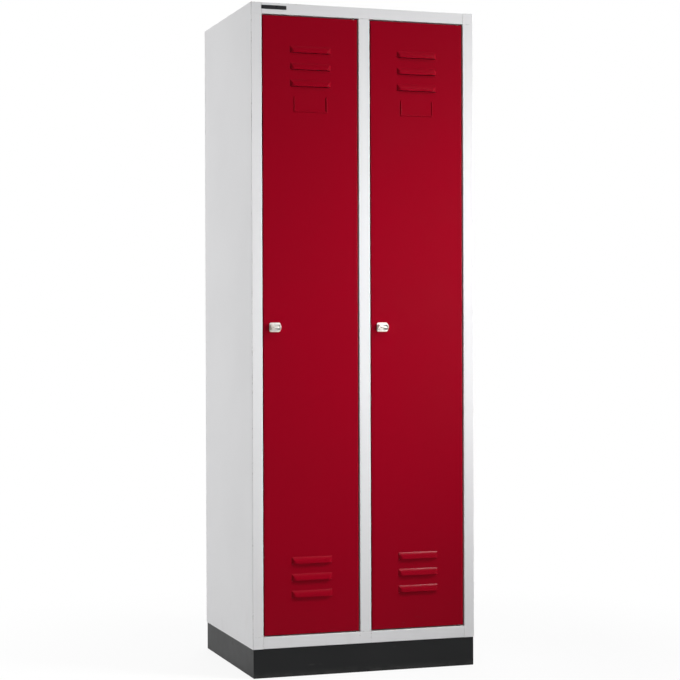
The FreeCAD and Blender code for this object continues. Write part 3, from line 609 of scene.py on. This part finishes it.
@dataclass(frozen=True)
class ShelfPaint(PowderCoat):
    """Paint of the shelves and brackets, scratched where things are pushed in."""

    level: float = 1.51
    front: float = -0.19
    skin: Pair = (0.0006, 0.0001)
    scratches: Speckle = Speckle(0.0022, 2.0, (0.66, 0.72), (1.0, 0.03, 1.0))
    scratched_parts: Speckle = Speckle(0.09, 1.0, (0.45, 0.6))
    dust: Speckle = Speckle(0.04, 4.0, (0.5, 0.75))
    dust_share: float = 0.4

    def fold(self, at: Spot) -> Signal:
        """Distance from the front fold of the shelf."""
        return abs(at.y - self.front) + abs(self.level - at.z)

    def marks(self, at: Spot) -> Signal:
        """Fine scratches from front to back on the shelf's top, and a little dust.

        Args:
            at: Where on the surface.

        Returns:
            Their share, between 0 and 1.
        """
        top = at.z.band(self.level - self.skin[0], self.level - self.skin[1])
        scratches = self.scratches.spots(at.recipe) * self.scratched_parts.spots(at.recipe)
        dust = self.dust.spots(at.recipe) * self.dust_share
        return top * (scratches + dust).least(1.0)


@dataclass(frozen=True)
class Plating(Finish):
    """Plated metal: drawn lines, spangle, cloudy brightness, small stains."""

    name: str
    slot: Slot
    colour: Colour
    dull: Colour
    roughness: float
    least_roughness: float = 0.05
    stretch: Place = ALIKE
    line_size: float = 0.0006
    line_detail: float = 2.0
    line_height: float = 1.5e-6
    line_roughness: float = 0.12
    spangle: float = 0.0
    spangle_size: float = 0.0035
    cloud_size: float = 0.006
    cloud_detail: float = 4.0
    cloud_limits: Pair = (0.35, 0.7)
    cloud_share: float = 0.45
    cloud_roughness: float = 0.14
    stain_scale: float = 2.5
    stain_detail: float = 5.0
    stain_limits: Pair = (0.58, 0.74)
    stain_share: float = 0.35
    stain_roughness: float = 0.14

    def mix(self, recipe: Recipe) -> None:
        """Put the plating's nodes into an empty recipe.

        Args:
            recipe: The recipe.
        """
        cloud = recipe.grain(self.cloud_size, self.cloud_detail)
        lines = recipe.grain(self.line_size, self.line_detail, self.stretch)
        stains = recipe.grain(self.cloud_size * self.stain_scale, self.stain_detail)
        stain = stains.band(*self.stain_limits)
        shade = (
            cloud.band(*self.cloud_limits) * self.cloud_share
            + recipe.cells(self.spangle_size) * self.spangle
            + stain * self.stain_share
        )
        roughness = (
            self.roughness
            + (cloud - NOISE_MEAN) * self.cloud_roughness
            + (lines - NOISE_MEAN) * self.line_roughness
            + stain * self.stain_roughness
        )
        recipe.surface(
            {
                "Base Color": recipe.blend(shade.least(1.0), self.colour, self.dull),
                "Metallic": 1.0,
                "Roughness": roughness.most(self.least_roughness),
                "Normal": recipe.relief(lines * self.line_height),
            }
        )


@dataclass(frozen=True)
class Moulding(Finish):
    """Moulded plastic or rubber: fine spark texture, flow clouds and rubbed spots."""

    name: str
    slot: Slot
    colour: Colour
    rubbed: Colour
    roughness: float
    shine: float = 0.5
    grain_size: float = 0.0007
    grain_detail: float = 2.0
    grain_height: float = 1.2e-5
    grain_limits: Pair = (0.4, 0.7)
    grain_share: float = 0.15
    rubs: Speckle = Speckle(0.012, 4.0, (0.55, 0.72))
    rub_share: float = 0.5
    rub_polish: float = 0.08
    cloud_roughness: float = 0.16

    def mix(self, recipe: Recipe) -> None:
        """Put the plastic's nodes into an empty recipe.

        Args:
            recipe: The recipe.
        """
        fine = recipe.grain(self.grain_size, self.grain_detail)
        cloud = self.rubs.noise(recipe)
        rub = cloud.band(*self.rubs.limits)
        shade = rub * self.rub_share + fine.band(*self.grain_limits) * self.grain_share
        roughness = self.roughness + (cloud - NOISE_MEAN) * self.cloud_roughness
        recipe.surface(
            {
                "Base Color": recipe.blend(shade, self.colour, self.rubbed),
                "Roughness": roughness - rub * self.rub_polish,
                "Specular IOR Level": self.shine,
                "Normal": recipe.relief(fine * self.grain_height),
            }
        )


BODY = BodyPaint(
    "body_paint",
    Slot.GREY,
    colour=(0.70, 0.70, 0.71),
    patch=(0.67, 0.67, 0.68),
    bare=(0.36, 0.35, 0.34),
    grime_and_shade=(0.47, 0.46, 0.44),
    roughness=0.46,
)
SHELF = ShelfPaint(
    "shelf_paint",
    Slot.GREY,
    colour=(0.69, 0.69, 0.70),
    patch=(0.65, 0.65, 0.66),
    bare=(0.40, 0.40, 0.40),
    grime_and_shade=(0.42, 0.41, 0.40),
    roughness=0.38,
)
DOOR = DoorPaint(
    "door_paint",
    Slot.RED,
    colour=(0.262, 0.0005, 0.0100),
    patch=(0.247, 0.0005, 0.0090),
    bare=(0.15, 0.02, 0.02),
    grime_and_shade=(0.12, 0.006, 0.009),
    roughness=0.21,
    shine=0.08,
)
PLINTH = PlinthPaint(
    "plinth_paint",
    Slot.DARK,
    colour=(0.014, 0.0147, 0.0154),
    patch=(0.018, 0.0187, 0.0194),
    bare=(0.10, 0.10, 0.10),
    grime_and_shade=(0.08, 0.077, 0.073),
    roughness=0.5,
    shine=0.2,
)
NICKEL = Plating(
    "nickel",
    Slot.NICKEL,
    colour=(0.90, 0.86, 0.81),
    dull=(0.70, 0.65, 0.58),
    roughness=0.44,
    stretch=(1.0, 1.0, 0.08),
)
CHROME = Plating(
    "chrome",
    Slot.CHROME,
    colour=(0.84, 0.85, 0.86),
    dull=(0.66, 0.67, 0.69),
    roughness=0.1,
    stretch=(0.02, 1.0, 1.0),
    cloud_size=0.02,
)
ZINC = Plating(
    "zinc",
    Slot.ZINC,
    colour=(0.66, 0.66, 0.64),
    dull=(0.42, 0.42, 0.40),
    roughness=0.34,
    spangle=0.35,
)
PIN = Plating(
    "dull_zinc",
    Slot.ZINC,
    colour=(0.38, 0.38, 0.37),
    dull=(0.24, 0.24, 0.23),
    roughness=0.55,
)
NYLON = Moulding(
    "nylon",
    Slot.NYLON,
    colour=(0.022, 0.022, 0.024),
    rubbed=(0.05, 0.05, 0.052),
    roughness=0.44,
)
RUBBER = Moulding(
    "rubber",
    Slot.RUBBER,
    colour=(0.026, 0.026, 0.026),
    rubbed=(0.07, 0.068, 0.066),
    roughness=0.72,
    shine=0.3,
    grain_size=0.0004,
    grain_height=8e-6,
)
PLATE = Moulding(
    "plain_plate",
    Slot.PLATE,
    colour=(0.018, 0.018, 0.02),
    rubbed=(0.034, 0.034, 0.036),
    roughness=0.3,
    grain_size=0.0005,
    grain_height=3e-6,
)


def dress(finish: Finish, *nodes: str) -> None:
    """Cover frame nodes with a finish.

    Args:
        finish: The finish.
        nodes: Names of the nodes.
    """
    for name in nodes:
        node = frame["nodes"][name]
        if not node.material_slots:
            node.data.materials.append(None)
        for slot in node.material_slots:
            slot.material = material_of(finish)
        log.info("dressed %s in %s", name, finish.name)


class Shape:
    """A small turned or six-sided piece in the making, in metres."""

    FACETS = 48
    TINY = 1e-7
    SHARP_ANGLE = math.radians(30)
    # Shares of the width across the flats of a nut or screw head.
    CHAMFER, WASHER, DISH = 0.05, 0.04, 0.02
    # Share of half that width that the round faces have, and the dish's share of them.
    FACE, DISH_EDGE = 0.95, 0.6
    # Height at which a screw head's flats begin, as a share of its washer face's.
    FLATS_START = 1.5
    # Corners of a socket head, as shares of its radius or of the key's width, and of its height.
    DOME: Outline = ((0.0, 0.0), (1.0, 0.0), (1.0, 0.45), (0.94, 0.75), (0.8, 0.95))
    SOCKET: Outline = ((0.68, 1.0), (0.5, 0.97), (0.47, 0.35), (0.0, 0.35))

    def __init__(self) -> None:
        """Start with nothing."""
        self.mesh = bmesh.new()

    def lathe(
        self,
        outline: Outline,
        turn: Turn,
        place: Place,
        ring: bool = False,
        hexagons: Sequence[int] = (),
    ) -> None:
        """Add a turned part, six-sided where some of its corners ask for it.

        Args:
            outline: Radius and height of the corners of half its section.
            turn: Where its axis points.
            place: Where its origin goes.
            ring: True if the outline closes on itself round a bore.
            hexagons: Numbers of the corners that give a hexagon, with their radius to its flats.
        """
        part = bmesh.new()
        corners = [part.verts.new((radius, 0.0, height)) for radius, height in outline]
        edges = [part.edges.new(pair) for pair in zip(corners, corners[1:])]
        if ring:
            edges.append(part.edges.new((corners[-1], corners[0])))
        bmesh.ops.spin(
            part,
            geom=corners + edges,
            cent=(0.0, 0.0, 0.0),
            axis=(0.0, 0.0, 1.0),
            angle=2 * math.pi,
            steps=self.FACETS,
            use_merge=True,
        )
        for number in hexagons:
            self._push_out(part, *outline[number])
        bmesh.ops.remove_doubles(part, verts=part.verts, dist=self.TINY)
        bmesh.ops.recalc_face_normals(part, faces=part.faces)
        bmesh.ops.transform(part, matrix=Matrix.Translation(place) @ turn.value, verts=part.verts)
        data = bpy.data.meshes.new("part")
        part.to_mesh(data)
        part.free()
        self.mesh.from_mesh(data)
        bpy.data.meshes.remove(data)

    def _push_out(self, part: bmesh.types.BMesh, radius: float, height: float) -> None:
        """Turn one round loop of a part into a hexagon.

        Args:
            part: The part, along its own Z.
            radius: Radius of the loop, which becomes the distance of the flats.
            height: Its own Z.
        """
        side = math.pi / 3
        for vert in part.verts:
            away = max(abs(vert.co.xy.length - radius), abs(vert.co.z - height))
            if away < self.TINY:
                angle = math.atan2(vert.co.y, vert.co.x) % side
                vert.co.xy = vert.co.xy / math.cos(angle - side / 2)

    def hex_nut(self, flats: float, bore: float, height: float, turn: Turn, place: Place) -> None:
        """Add a six-sided nut, chamfered round both faces, with a bore.

        Args:
            flats: Width across its flats.
            bore: Radius of its bore.
            height: Its height along its axis.
            turn: Where its axis points.
            place: Middle of its lower face.
        """
        chamfer, side = flats * self.CHAMFER, flats / 2
        face = side * self.FACE
        outline = [
            (bore, 0.0),
            (face, 0.0),
            (side, chamfer),
            (side, height - chamfer),
            (face, height),
            (bore, height),
        ]
        self.lathe(outline, turn, place, ring=True, hexagons=(2, 3))

    def hex_head(self, flats: float, height: float, turn: Turn, place: Place) -> None:
        """Add a six-sided screw head with a washer face below and a chamfered, dished top.

        Args:
            flats: Width across its flats.
            height: Its height along its axis.
            turn: Where its axis points, away from the shank.
            place: Middle of its seat.
        """
        washer, side = flats * self.WASHER, flats / 2
        face, dish = side * self.FACE, height - flats * self.DISH
        outline = [
            (0.0, 0.0),
            (face, 0.0),
            (face, washer),
            (side, washer * self.FLATS_START),
            (side, height - flats * self.CHAMFER),
            (face, height),
            (face * self.DISH_EDGE, dish),
            (0.0, dish),
        ]
        self.lathe(outline, turn, place, hexagons=(3, 4))

    def socket_head(
        self, radius: float, height: float, key: float, turn: Turn, place: Place
    ) -> None:
        """Add a low round screw head with a six-sided socket.

        Args:
            radius: Its radius.
            height: Its height along its axis.
            key: Width across the flats of the socket.
            turn: Where its axis points, away from the shank.
            place: Middle of its seat.
        """
        dome = [(radius * across, height * up) for across, up in self.DOME]
        socket = [(key * across, height * up) for across, up in self.SOCKET]
        self.lathe(dome + socket, turn, place, hexagons=(6, 7))

    def shank(self, radius: float, length: float, tip: Pair, turn: Turn, place: Place) -> None:
        """Add a plain screw shank with a tapered end.

        Args:
            radius: Its radius.
            length: Its length from its seat.
            tip: Share of the radius that its end keeps, and length of the taper.
            turn: Where its axis points.
            place: Middle of its seat.
        """
        share, taper = tip
        outline = [
            (0.0, 0.0),
            (radius, 0.0),
            (radius, length - taper),
            (radius * share, length),
            (0.0, length),
        ]
        self.lathe(outline, turn, place)

    def piece(self, name: str, body: str, finish: Finish, *stands_for: str) -> None:
        """Make the shape an object of the locker.

        Args:
            name: Name of the piece.
            body: Frame body that carries it.
            finish: What covers it.
            stands_for: Frame nodes that it takes the place of.
        """
        data = bpy.data.meshes.new(name)
        self.mesh.to_mesh(data)
        self.mesh.free()
        data.shade_smooth()
        data.set_sharp_from_angle(angle=self.SHARP_ANGLE)
        data.materials.append(material_of(finish))
        made = bpy.data.objects.new(name, data)
        bpy.context.scene.collection.objects.link(made)
        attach(made, body)
        if stands_for:
            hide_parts(*stands_for)
        log.info("built %s on %s, %d faces", name, body, len(data.polygons))


@dataclass
class Carcass:
    """Grey body of folded sheet, with the plain plate on its top rail."""

    panels: tuple[str, ...] = (
        "left_side_panel",
        "right_side_panel",
        "back_panel",
        "top_panel",
        "floor_panel",
        "centre_partition",
    )

    def dress(self) -> None:
        """Paint the panels and finish the plate."""
        dress(BODY, *self.panels)
        dress(PLATE, "badge_plate")


@dataclass
class Plinth:
    """Dark plinth of four mitred members, screwed to the body from below."""

    members: tuple[str, ...] = ("plinth_front", "plinth_rear", "plinth_left", "plinth_right")
    screw_x: float = 0.2075
    screw_y: float = 0.232
    seat: float = 0.0765
    head_flats: float = 0.01
    head_height: float = 0.004
    shank_radius: float = 0.003
    shank_length: float = 0.0088
    shank_tip: Pair = (0.7, 0.001)
    nut_seat: float = 0.0788
    nut_flats: float = 0.011
    nut_bore: float = 0.00305
    nut_height: float = 0.005

    def build(self) -> None:
        """Make the screws and the weld nuts."""
        screws, nuts = Shape(), Shape()
        shank = (self.shank_radius, self.shank_length, self.shank_tip)
        nut = (self.nut_flats, self.nut_bore, self.nut_height)
        for x in (-self.screw_x, self.screw_x):
            for y in (-self.screw_y, self.screw_y):
                seat = (x, y, self.seat)
                screws.hex_head(self.head_flats, self.head_height, Turn.DOWN, seat)
                screws.shank(*shank, Turn.UP, seat)
                nuts.hex_nut(*nut, Turn.UP, (x, y, self.nut_seat))
        screws.piece("hex_screws", "cabinet", ZINC, "plinth_screws")
        nuts.piece("weld_nuts", "cabinet", ZINC, "plinth_nuts")

    def dress(self) -> None:
        """Paint the members."""
        dress(PLINTH, *self.members)


@dataclass
class Compartment:
    """Fittings inside one compartment: shelf, rail with cups and hooks, bushes and buffers.

    Corners of turned fittings are pairs, across the axis and along it. Those of the cup's flange
    edge and of the buffer are shares of the size above them.
    """

    side: Side
    walls: Pair
    pivot: Pair
    buffer_x: float
    hooks: tuple[int, ...] = (1, 2, 3)
    rail_height: float = 1.45
    rail_y: float = 0.0
    cup_flange: Pair = (0.02, 0.002)
    cup_flange_edge: Outline = ((0.0, 0.5), (0.2, 0.85), (0.5, 1.0))
    cup_wall: Pair = (0.0132, 0.012)
    cup_fillet: Outline = ((0.001, 0.0), (0.0003, 0.0003), (0.0, 0.001))
    cup_rim: Outline = ((0.0, 0.0012), (0.0004, 0.0003), (0.0012, 0.0))
    cup_bore: Pair = (0.0102, 0.002)
    cup_mouth: float = 0.0006
    cup_screw_offset: float = 0.0166
    cup_screw_head: Pair = (0.0024, 0.0014)
    cup_screw_key: float = 0.0018
    bush_levels: tuple[tuple[float, Turn], ...] = ((0.11, Turn.DOWN), (1.77, Turn.UP))
    bush_flange: Pair = (0.006, 0.0012)
    bush_flange_edge: float = 0.0004
    bush_body: Pair = (0.00505, 0.009)
    bush_body_edge: float = 0.0006
    bush_bore: float = 0.00305
    bush_bore_edge: float = 0.0002
    buffer_levels: Pair = (0.263, 1.617)
    stop_face: float = -0.226
    stop_sheet: float = 0.0008
    buffer_head: Pair = (0.004, 0.0027)
    buffer_dome: Outline = ((0.0, 1.0), (0.55, 1.0), (0.85, 0.86), (1.0, 0.5), (1.0, 0.0))
    buffer_neck: float = 0.002
    buffer_bulb: Pair = (0.003, 0.0025)
    buffer_tail: Outline = ((1.0, 0.0), (1.0, 0.3), (0.5, 1.0), (0.0, 1.0))

    def build(self) -> None:
        """Make the turned fittings."""
        self._rail_cups()
        self._pivot_bushes()
        self._buffers()

    def _rail_cups(self) -> None:
        """Make the rounded cups of the rail and the screws that hold them."""
        (flange, foot), (wall, depth), (bore, web) = self.cup_flange, self.cup_wall, self.cup_bore
        outline = [
            (0.0, 0.0),
            (flange, 0.0),
            *((flange - foot * inward, foot * up) for inward, up in self.cup_flange_edge),
            *((wall + outward, foot + up) for outward, up in self.cup_fillet),
            *((wall - inward, depth - down) for inward, down in self.cup_rim),
            (bore + self.cup_mouth, depth),
            (bore, depth - self.cup_mouth),
            (bore, web),
            (0.0, web),
        ]
        cups, screws = Shape(), Shape()
        first, last = self.walls
        for x, turn, seat in (
            (first, Turn.TO_RIGHT, first + foot),
            (last, Turn.TO_LEFT, last - foot),
        ):
            cups.lathe(outline, turn, (x, self.rail_y, self.rail_height))
            for y in (-self.cup_screw_offset, self.cup_screw_offset):
                place = (seat, self.rail_y + y, self.rail_height)
                screws.socket_head(*self.cup_screw_head, self.cup_screw_key, turn, place)
        cups.piece(self.side.named("rail_sockets"), "cabinet", NYLON, self.side.named("rail_cups"))
        screws.piece(self.side.named("socket_screws"), "cabinet", ZINC)

    def _pivot_bushes(self) -> None:
        """Make the flanged bushes of the door's pivots."""
        (flange, thick), (body, length), bore = self.bush_flange, self.bush_body, self.bush_bore
        outline = [
            (bore, -thick + self.bush_bore_edge),
            (bore + self.bush_bore_edge, -thick),
            (flange - self.bush_flange_edge, -thick),
            (flange, -thick + self.bush_flange_edge),
            (flange, 0.0),
            (body, 0.0),
            (body, length - self.bush_body_edge),
            (body - self.bush_body_edge, length),
            (bore, length),
        ]
        bushes = Shape()
        for level, turn in self.bush_levels:
            bushes.lathe(outline, turn, (*self.pivot, level), ring=True)
        named = self.side.named
        bushes.piece(named("pivot_bushes"), "cabinet", NYLON, named("hinge_bushes"))

    def _buffers(self) -> None:
        """Make the mushroom buffers on the stop flange."""
        (head, rise), neck, (bulb, tail) = self.buffer_head, self.buffer_neck, self.buffer_bulb
        sheet = self.stop_sheet
        outline = [
            *((head * across, rise * up) for across, up in self.buffer_dome),
            (neck, 0.0),
            (neck, -sheet),
            *((bulb * across, -sheet - tail * down) for across, down in self.buffer_tail),
        ]
        buffers = Shape()
        for level in self.buffer_levels:
            buffers.lathe(outline, Turn.TO_FRONT, (self.buffer_x, self.stop_face, level))
        named = self.side.named
        buffers.piece(named("rubber_buffers"), "cabinet", RUBBER, named("door_buffers"))

    def dress(self) -> None:
        """Finish the shelf, the brackets, the rail and the hooks."""
        dress(SHELF, self.side.named("hat_shelf"), self.side.named("shelf_brackets"))
        dress(CHROME, self.side.named("coat_rail"))
        dress(NYLON, *(self.side.named(f"coat_hook_{number}") for number in self.hooks))


@dataclass
class Door:
    """Red door pan with louvres, its stiffener and its pivot pins."""

    side: Side
    pivot: Pair
    ends: tuple[tuple[float, Turn], ...] = ((0.113, Turn.DOWN), (1.767, Turn.UP))
    sheet: float = 0.0008
    head: Pair = (0.005, 0.003)
    collar: float = 0.0015
    edge: float = 0.0004
    journal: float = 0.003
    tip: float = 0.011
    tip_edge: float = 0.0008

    def build(self) -> None:
        """Make the turned pivot pins."""
        radius, height = self.head
        inner = -self.sheet - height
        outline = [
            (0.0, inner),
            (radius - self.edge, inner),
            (radius, inner + self.edge),
            (radius, -self.sheet),
            (self.journal, -self.sheet),
            (self.journal, 0.0),
            (radius, 0.0),
            (radius, self.collar - self.edge),
            (radius - self.edge, self.collar),
            (self.journal, self.collar),
            (self.journal, self.tip - self.tip_edge),
            (self.journal - self.tip_edge, self.tip),
            (0.0, self.tip),
        ]
        pins = Shape()
        for end, turn in self.ends:
            pins.lathe(outline, turn, (*self.pivot, end))
        named = self.side.named
        pins.piece(named("pivot_pins"), named("door"), PIN, named("hinge_pins"))

    def dress(self) -> None:
        """Paint the pan and the stiffener."""
        dress(DOOR, self.side.named("door_panel"), self.side.named("door_stiffener"))


@dataclass
class Latch:
    """Turn latch: housing with padlock ears, vane, nut, cam and cam screw."""

    side: Side
    axis: Pair
    nut_seat: float = -0.2482
    nut_flats: float = 0.025
    nut_bore: float = 0.00905
    nut_height: float = 0.004
    screw_seat: float = -0.2221
    screw_head: Pair = (0.0045, 0.0025)
    screw_key: float = 0.003
    screw_shank: Pair = (0.002, 0.008)
    screw_tip: Pair = (0.75, 0.0005)

    def build(self) -> None:
        """Make the barrel nut and the cam screw."""
        x, z = self.axis
        named = self.side.named
        nut, screw = Shape(), Shape()
        place, seat = (x, self.nut_seat, z), (x, self.screw_seat, z)
        nut.hex_nut(self.nut_flats, self.nut_bore, self.nut_height, Turn.TO_BACK, place)
        nut.piece(named("barrel_nut"), named("door"), ZINC, named("latch_nut"))
        screw.socket_head(*self.screw_head, self.screw_key, Turn.TO_BACK, seat)
        screw.shank(*self.screw_shank, self.screw_tip, Turn.TO_FRONT, seat)
        screw.piece(named("socket_screw"), named("latch"), ZINC, named("cam_screw"))

    def dress(self) -> None:
        """Plate the housing, the vane and the cam."""
        dress(NICKEL, self.side.named("latch_housing"), self.side.named("latch_vane"))
        dress(ZINC, self.side.named("latch_cam"))


@dataclass
class Lamp:
    """A soft lamp that faces a point, with its power in watts and its spread in degrees."""

    name: str
    place: Place
    target: Place
    size: Pair
    power: float
    spread: float = 180.0

    def build(self) -> None:
        """Hang the lamp."""
        light = bpy.data.lights.new(self.name, "AREA")
        light.shape = "RECTANGLE"
        light.size, light.size_y = self.size
        light.energy = self.power
        light.spread = math.radians(self.spread)
        lamp = bpy.data.objects.new(self.name, light)
        lamp.location = self.place
        aim = Vector(self.target) - Vector(self.place)
        lamp.rotation_euler = aim.to_track_quat("-Z", "Y").to_euler()
        bpy.context.scene.collection.objects.link(lamp)


@dataclass
class Studio:
    """Plain white studio: floor, soft lamps, even world, and the camera."""

    # Turn in degrees that takes a camera from looking straight down to looking level.
    LEVEL = 90

    lamps: tuple[Lamp, ...] = (
        Lamp("key_lamp", (2.90, -3.05, 1.17), (-0.44, -0.25, 1.44), (1.4, 1.2), 11.8, 45.0),
        Lamp("low_lamp", (1.55, -1.5, 2.7), (-0.15, -0.25, 0.28), (0.8, 0.8), 4.8, 42.0),
        Lamp("side_lamp", (-2.9, 0.75, 1.3), (-0.3, 0.0, 0.95), (1.6, 1.6), 39.0),
        Lamp("top_lamp", (-0.4, 0.3, 4.2), (0.0, 0.1, 1.0), (2.0, 2.0), 22.0),
        Lamp("back_lamp", (1.2, 3.4, 2.2), (0.0, 0.2, 0.95), (1.6, 1.6), 48.0),
    )
    ambient: float = 0.44
    front_gloss: float = 0.04
    floor_pale: Colour = (0.8, 0.8, 0.8)
    floor_dark: Colour = (0.36, 0.36, 0.36)
    floor_glow: float = 0.88
    floor_fade: Pair = (0.5, 1.6)
    floor_half: float = 30.0
    floor_mirrored: Pair = (-0.6, 0.2)
    world_mirrored: Pair = (-0.6, 0.3)
    eye: Place = (-1.611, -4.879, 0.915)
    yaw: float = 18.40
    pitch: float = -0.17
    roll: float = -0.18
    lens: float = 95.72
    sensor: float = 36.0
    sight: float = 200.0

    def build(self) -> None:
        """Set up the floor, the world, the lamps and the camera."""
        self._floor()
        self._world()
        for lamp in self.lamps:
            lamp.build()
        self._camera()
        bpy.context.scene.view_settings.view_transform = "Standard"

    def _shown(self, recipe: Recipe, limits: Pair) -> Signal:
        """Share of the white background that a ray shows.

        The camera and rays through glass see it whole. Reflections see a dim room in front of the
        locker and the white behind it.

        Args:
            recipe: The recipe of the floor or of the world.
            limits: Y up to which reflections show the dim room, and from which the white.

        Returns:
            A value between 0 and 1.
        """
        path = recipe.node("ShaderNodeLightPath").outputs
        rays = ("Is Camera Ray", "Is Glossy Ray", "Is Transmission Ray")
        camera, glossy, clear = (Signal(recipe, path[name]) for name in rays)
        return camera.most(glossy * recipe.axes()[1].band(*limits)).most(clear)

    def _floor(self) -> None:
        """Lay a pale floor that shows white and keeps a soft shadow."""
        mesh = bmesh.new()
        bmesh.ops.create_grid(mesh, x_segments=1, y_segments=1, size=self.floor_half)
        data = bpy.data.meshes.new("floor")
        mesh.to_mesh(data)
        mesh.free()
        material = bpy.data.materials.new("floor")
        recipe = Recipe(material)
        shown = self._shown(recipe, self.floor_mirrored)
        colour = recipe.blend(shown, self.floor_dark, self.floor_pale)
        plain = recipe.signal("ShaderNodeBsdfDiffuse", sockets={"Color": colour})
        white = recipe.signal("ShaderNodeEmission", sockets={"Color": WHITE, "Strength": 1.0})
        length = {"operation": "LENGTH"}
        reach = recipe.signal("ShaderNodeVectorMath", length, {0: recipe.place()}, "Value")
        glow = self.floor_glow + reach.band(*self.floor_fade) * (1 - self.floor_glow)
        mixed = recipe.cross(shown * glow, plain, white)
        recipe.node("ShaderNodeOutputMaterial", sockets={"Surface": mixed})
        data.materials.append(material)
        floor = bpy.data.objects.new("floor", data)
        bpy.context.scene.collection.objects.link(floor)

    def _world(self) -> None:
        """White background, an even light, and a dim room in front for reflections."""
        world = bpy.data.worlds.new("studio")
        bpy.context.scene.world = world
        recipe = Recipe(world)
        glossy = recipe.signal("ShaderNodeLightPath", output="Is Glossy Ray")
        level = self.ambient + glossy * (self.front_gloss - self.ambient)
        even, white = (
            recipe.signal("ShaderNodeBackground", sockets={"Color": WHITE, "Strength": strength})
            for strength in (level, 1.0)
        )
        mixed = recipe.cross(self._shown(recipe, self.world_mirrored), even, white)
        recipe.node("ShaderNodeOutputWorld", sockets={"Surface": mixed})

    def _camera(self) -> None:
        """Put the camera where the photograph was taken from."""
        data = bpy.data.cameras.new("camera")
        data.lens, data.sensor_width, data.clip_end = self.lens, self.sensor, self.sight
        camera = bpy.data.objects.new("camera", data)
        turn = (
            Matrix.Rotation(math.radians(-self.yaw), 4, "Z")
            @ Matrix.Rotation(math.radians(self.LEVEL + self.pitch), 4, "X")
            @ Matrix.Rotation(math.radians(self.roll), 4, "Z")
        )
        camera.matrix_world = Matrix.Translation(self.eye) @ turn
        bpy.context.scene.collection.objects.link(camera)
        bpy.context.scene.camera = camera


# Inner faces of each compartment's walls, and where its buffers stand, along X in metres.
WALLS: Mapping[Side, Pair] = {Side.LEFT: (-0.3167, -0.0004), Side.RIGHT: (0.0004, 0.3167)}
BUFFER_X: Mapping[Side, float] = {Side.LEFT: -0.281, Side.RIGHT: 0.023}


def pivot_of(joint: str) -> Place:
    """Where a joint of the frame turns, in metres."""
    return next(tuple(entry["pos_m"]) for entry in frame["joints"] if entry["name"] == joint)


def main() -> None:
    """Build and dress the locker, then set the studio round it."""
    logging.basicConfig(level=logging.INFO, format="%(name)s: %(message)s")
    plinth = Plinth()
    plinth.build()
    plinth.dress()
    Carcass().dress()
    for side in Side:
        hinge_x, hinge_y, _ = pivot_of(side.named("door_swing"))
        latch_x, _, latch_z = pivot_of(side.named("latch_turn"))
        for part in (
            Compartment(side, WALLS[side], (hinge_x, hinge_y), BUFFER_X[side]),
            Door(side, (hinge_x, hinge_y)),
            Latch(side, (latch_x, latch_z)),
        ):
            part.build()
            part.dress()
    Studio().build()


if __name__ == "__main__":
    main()
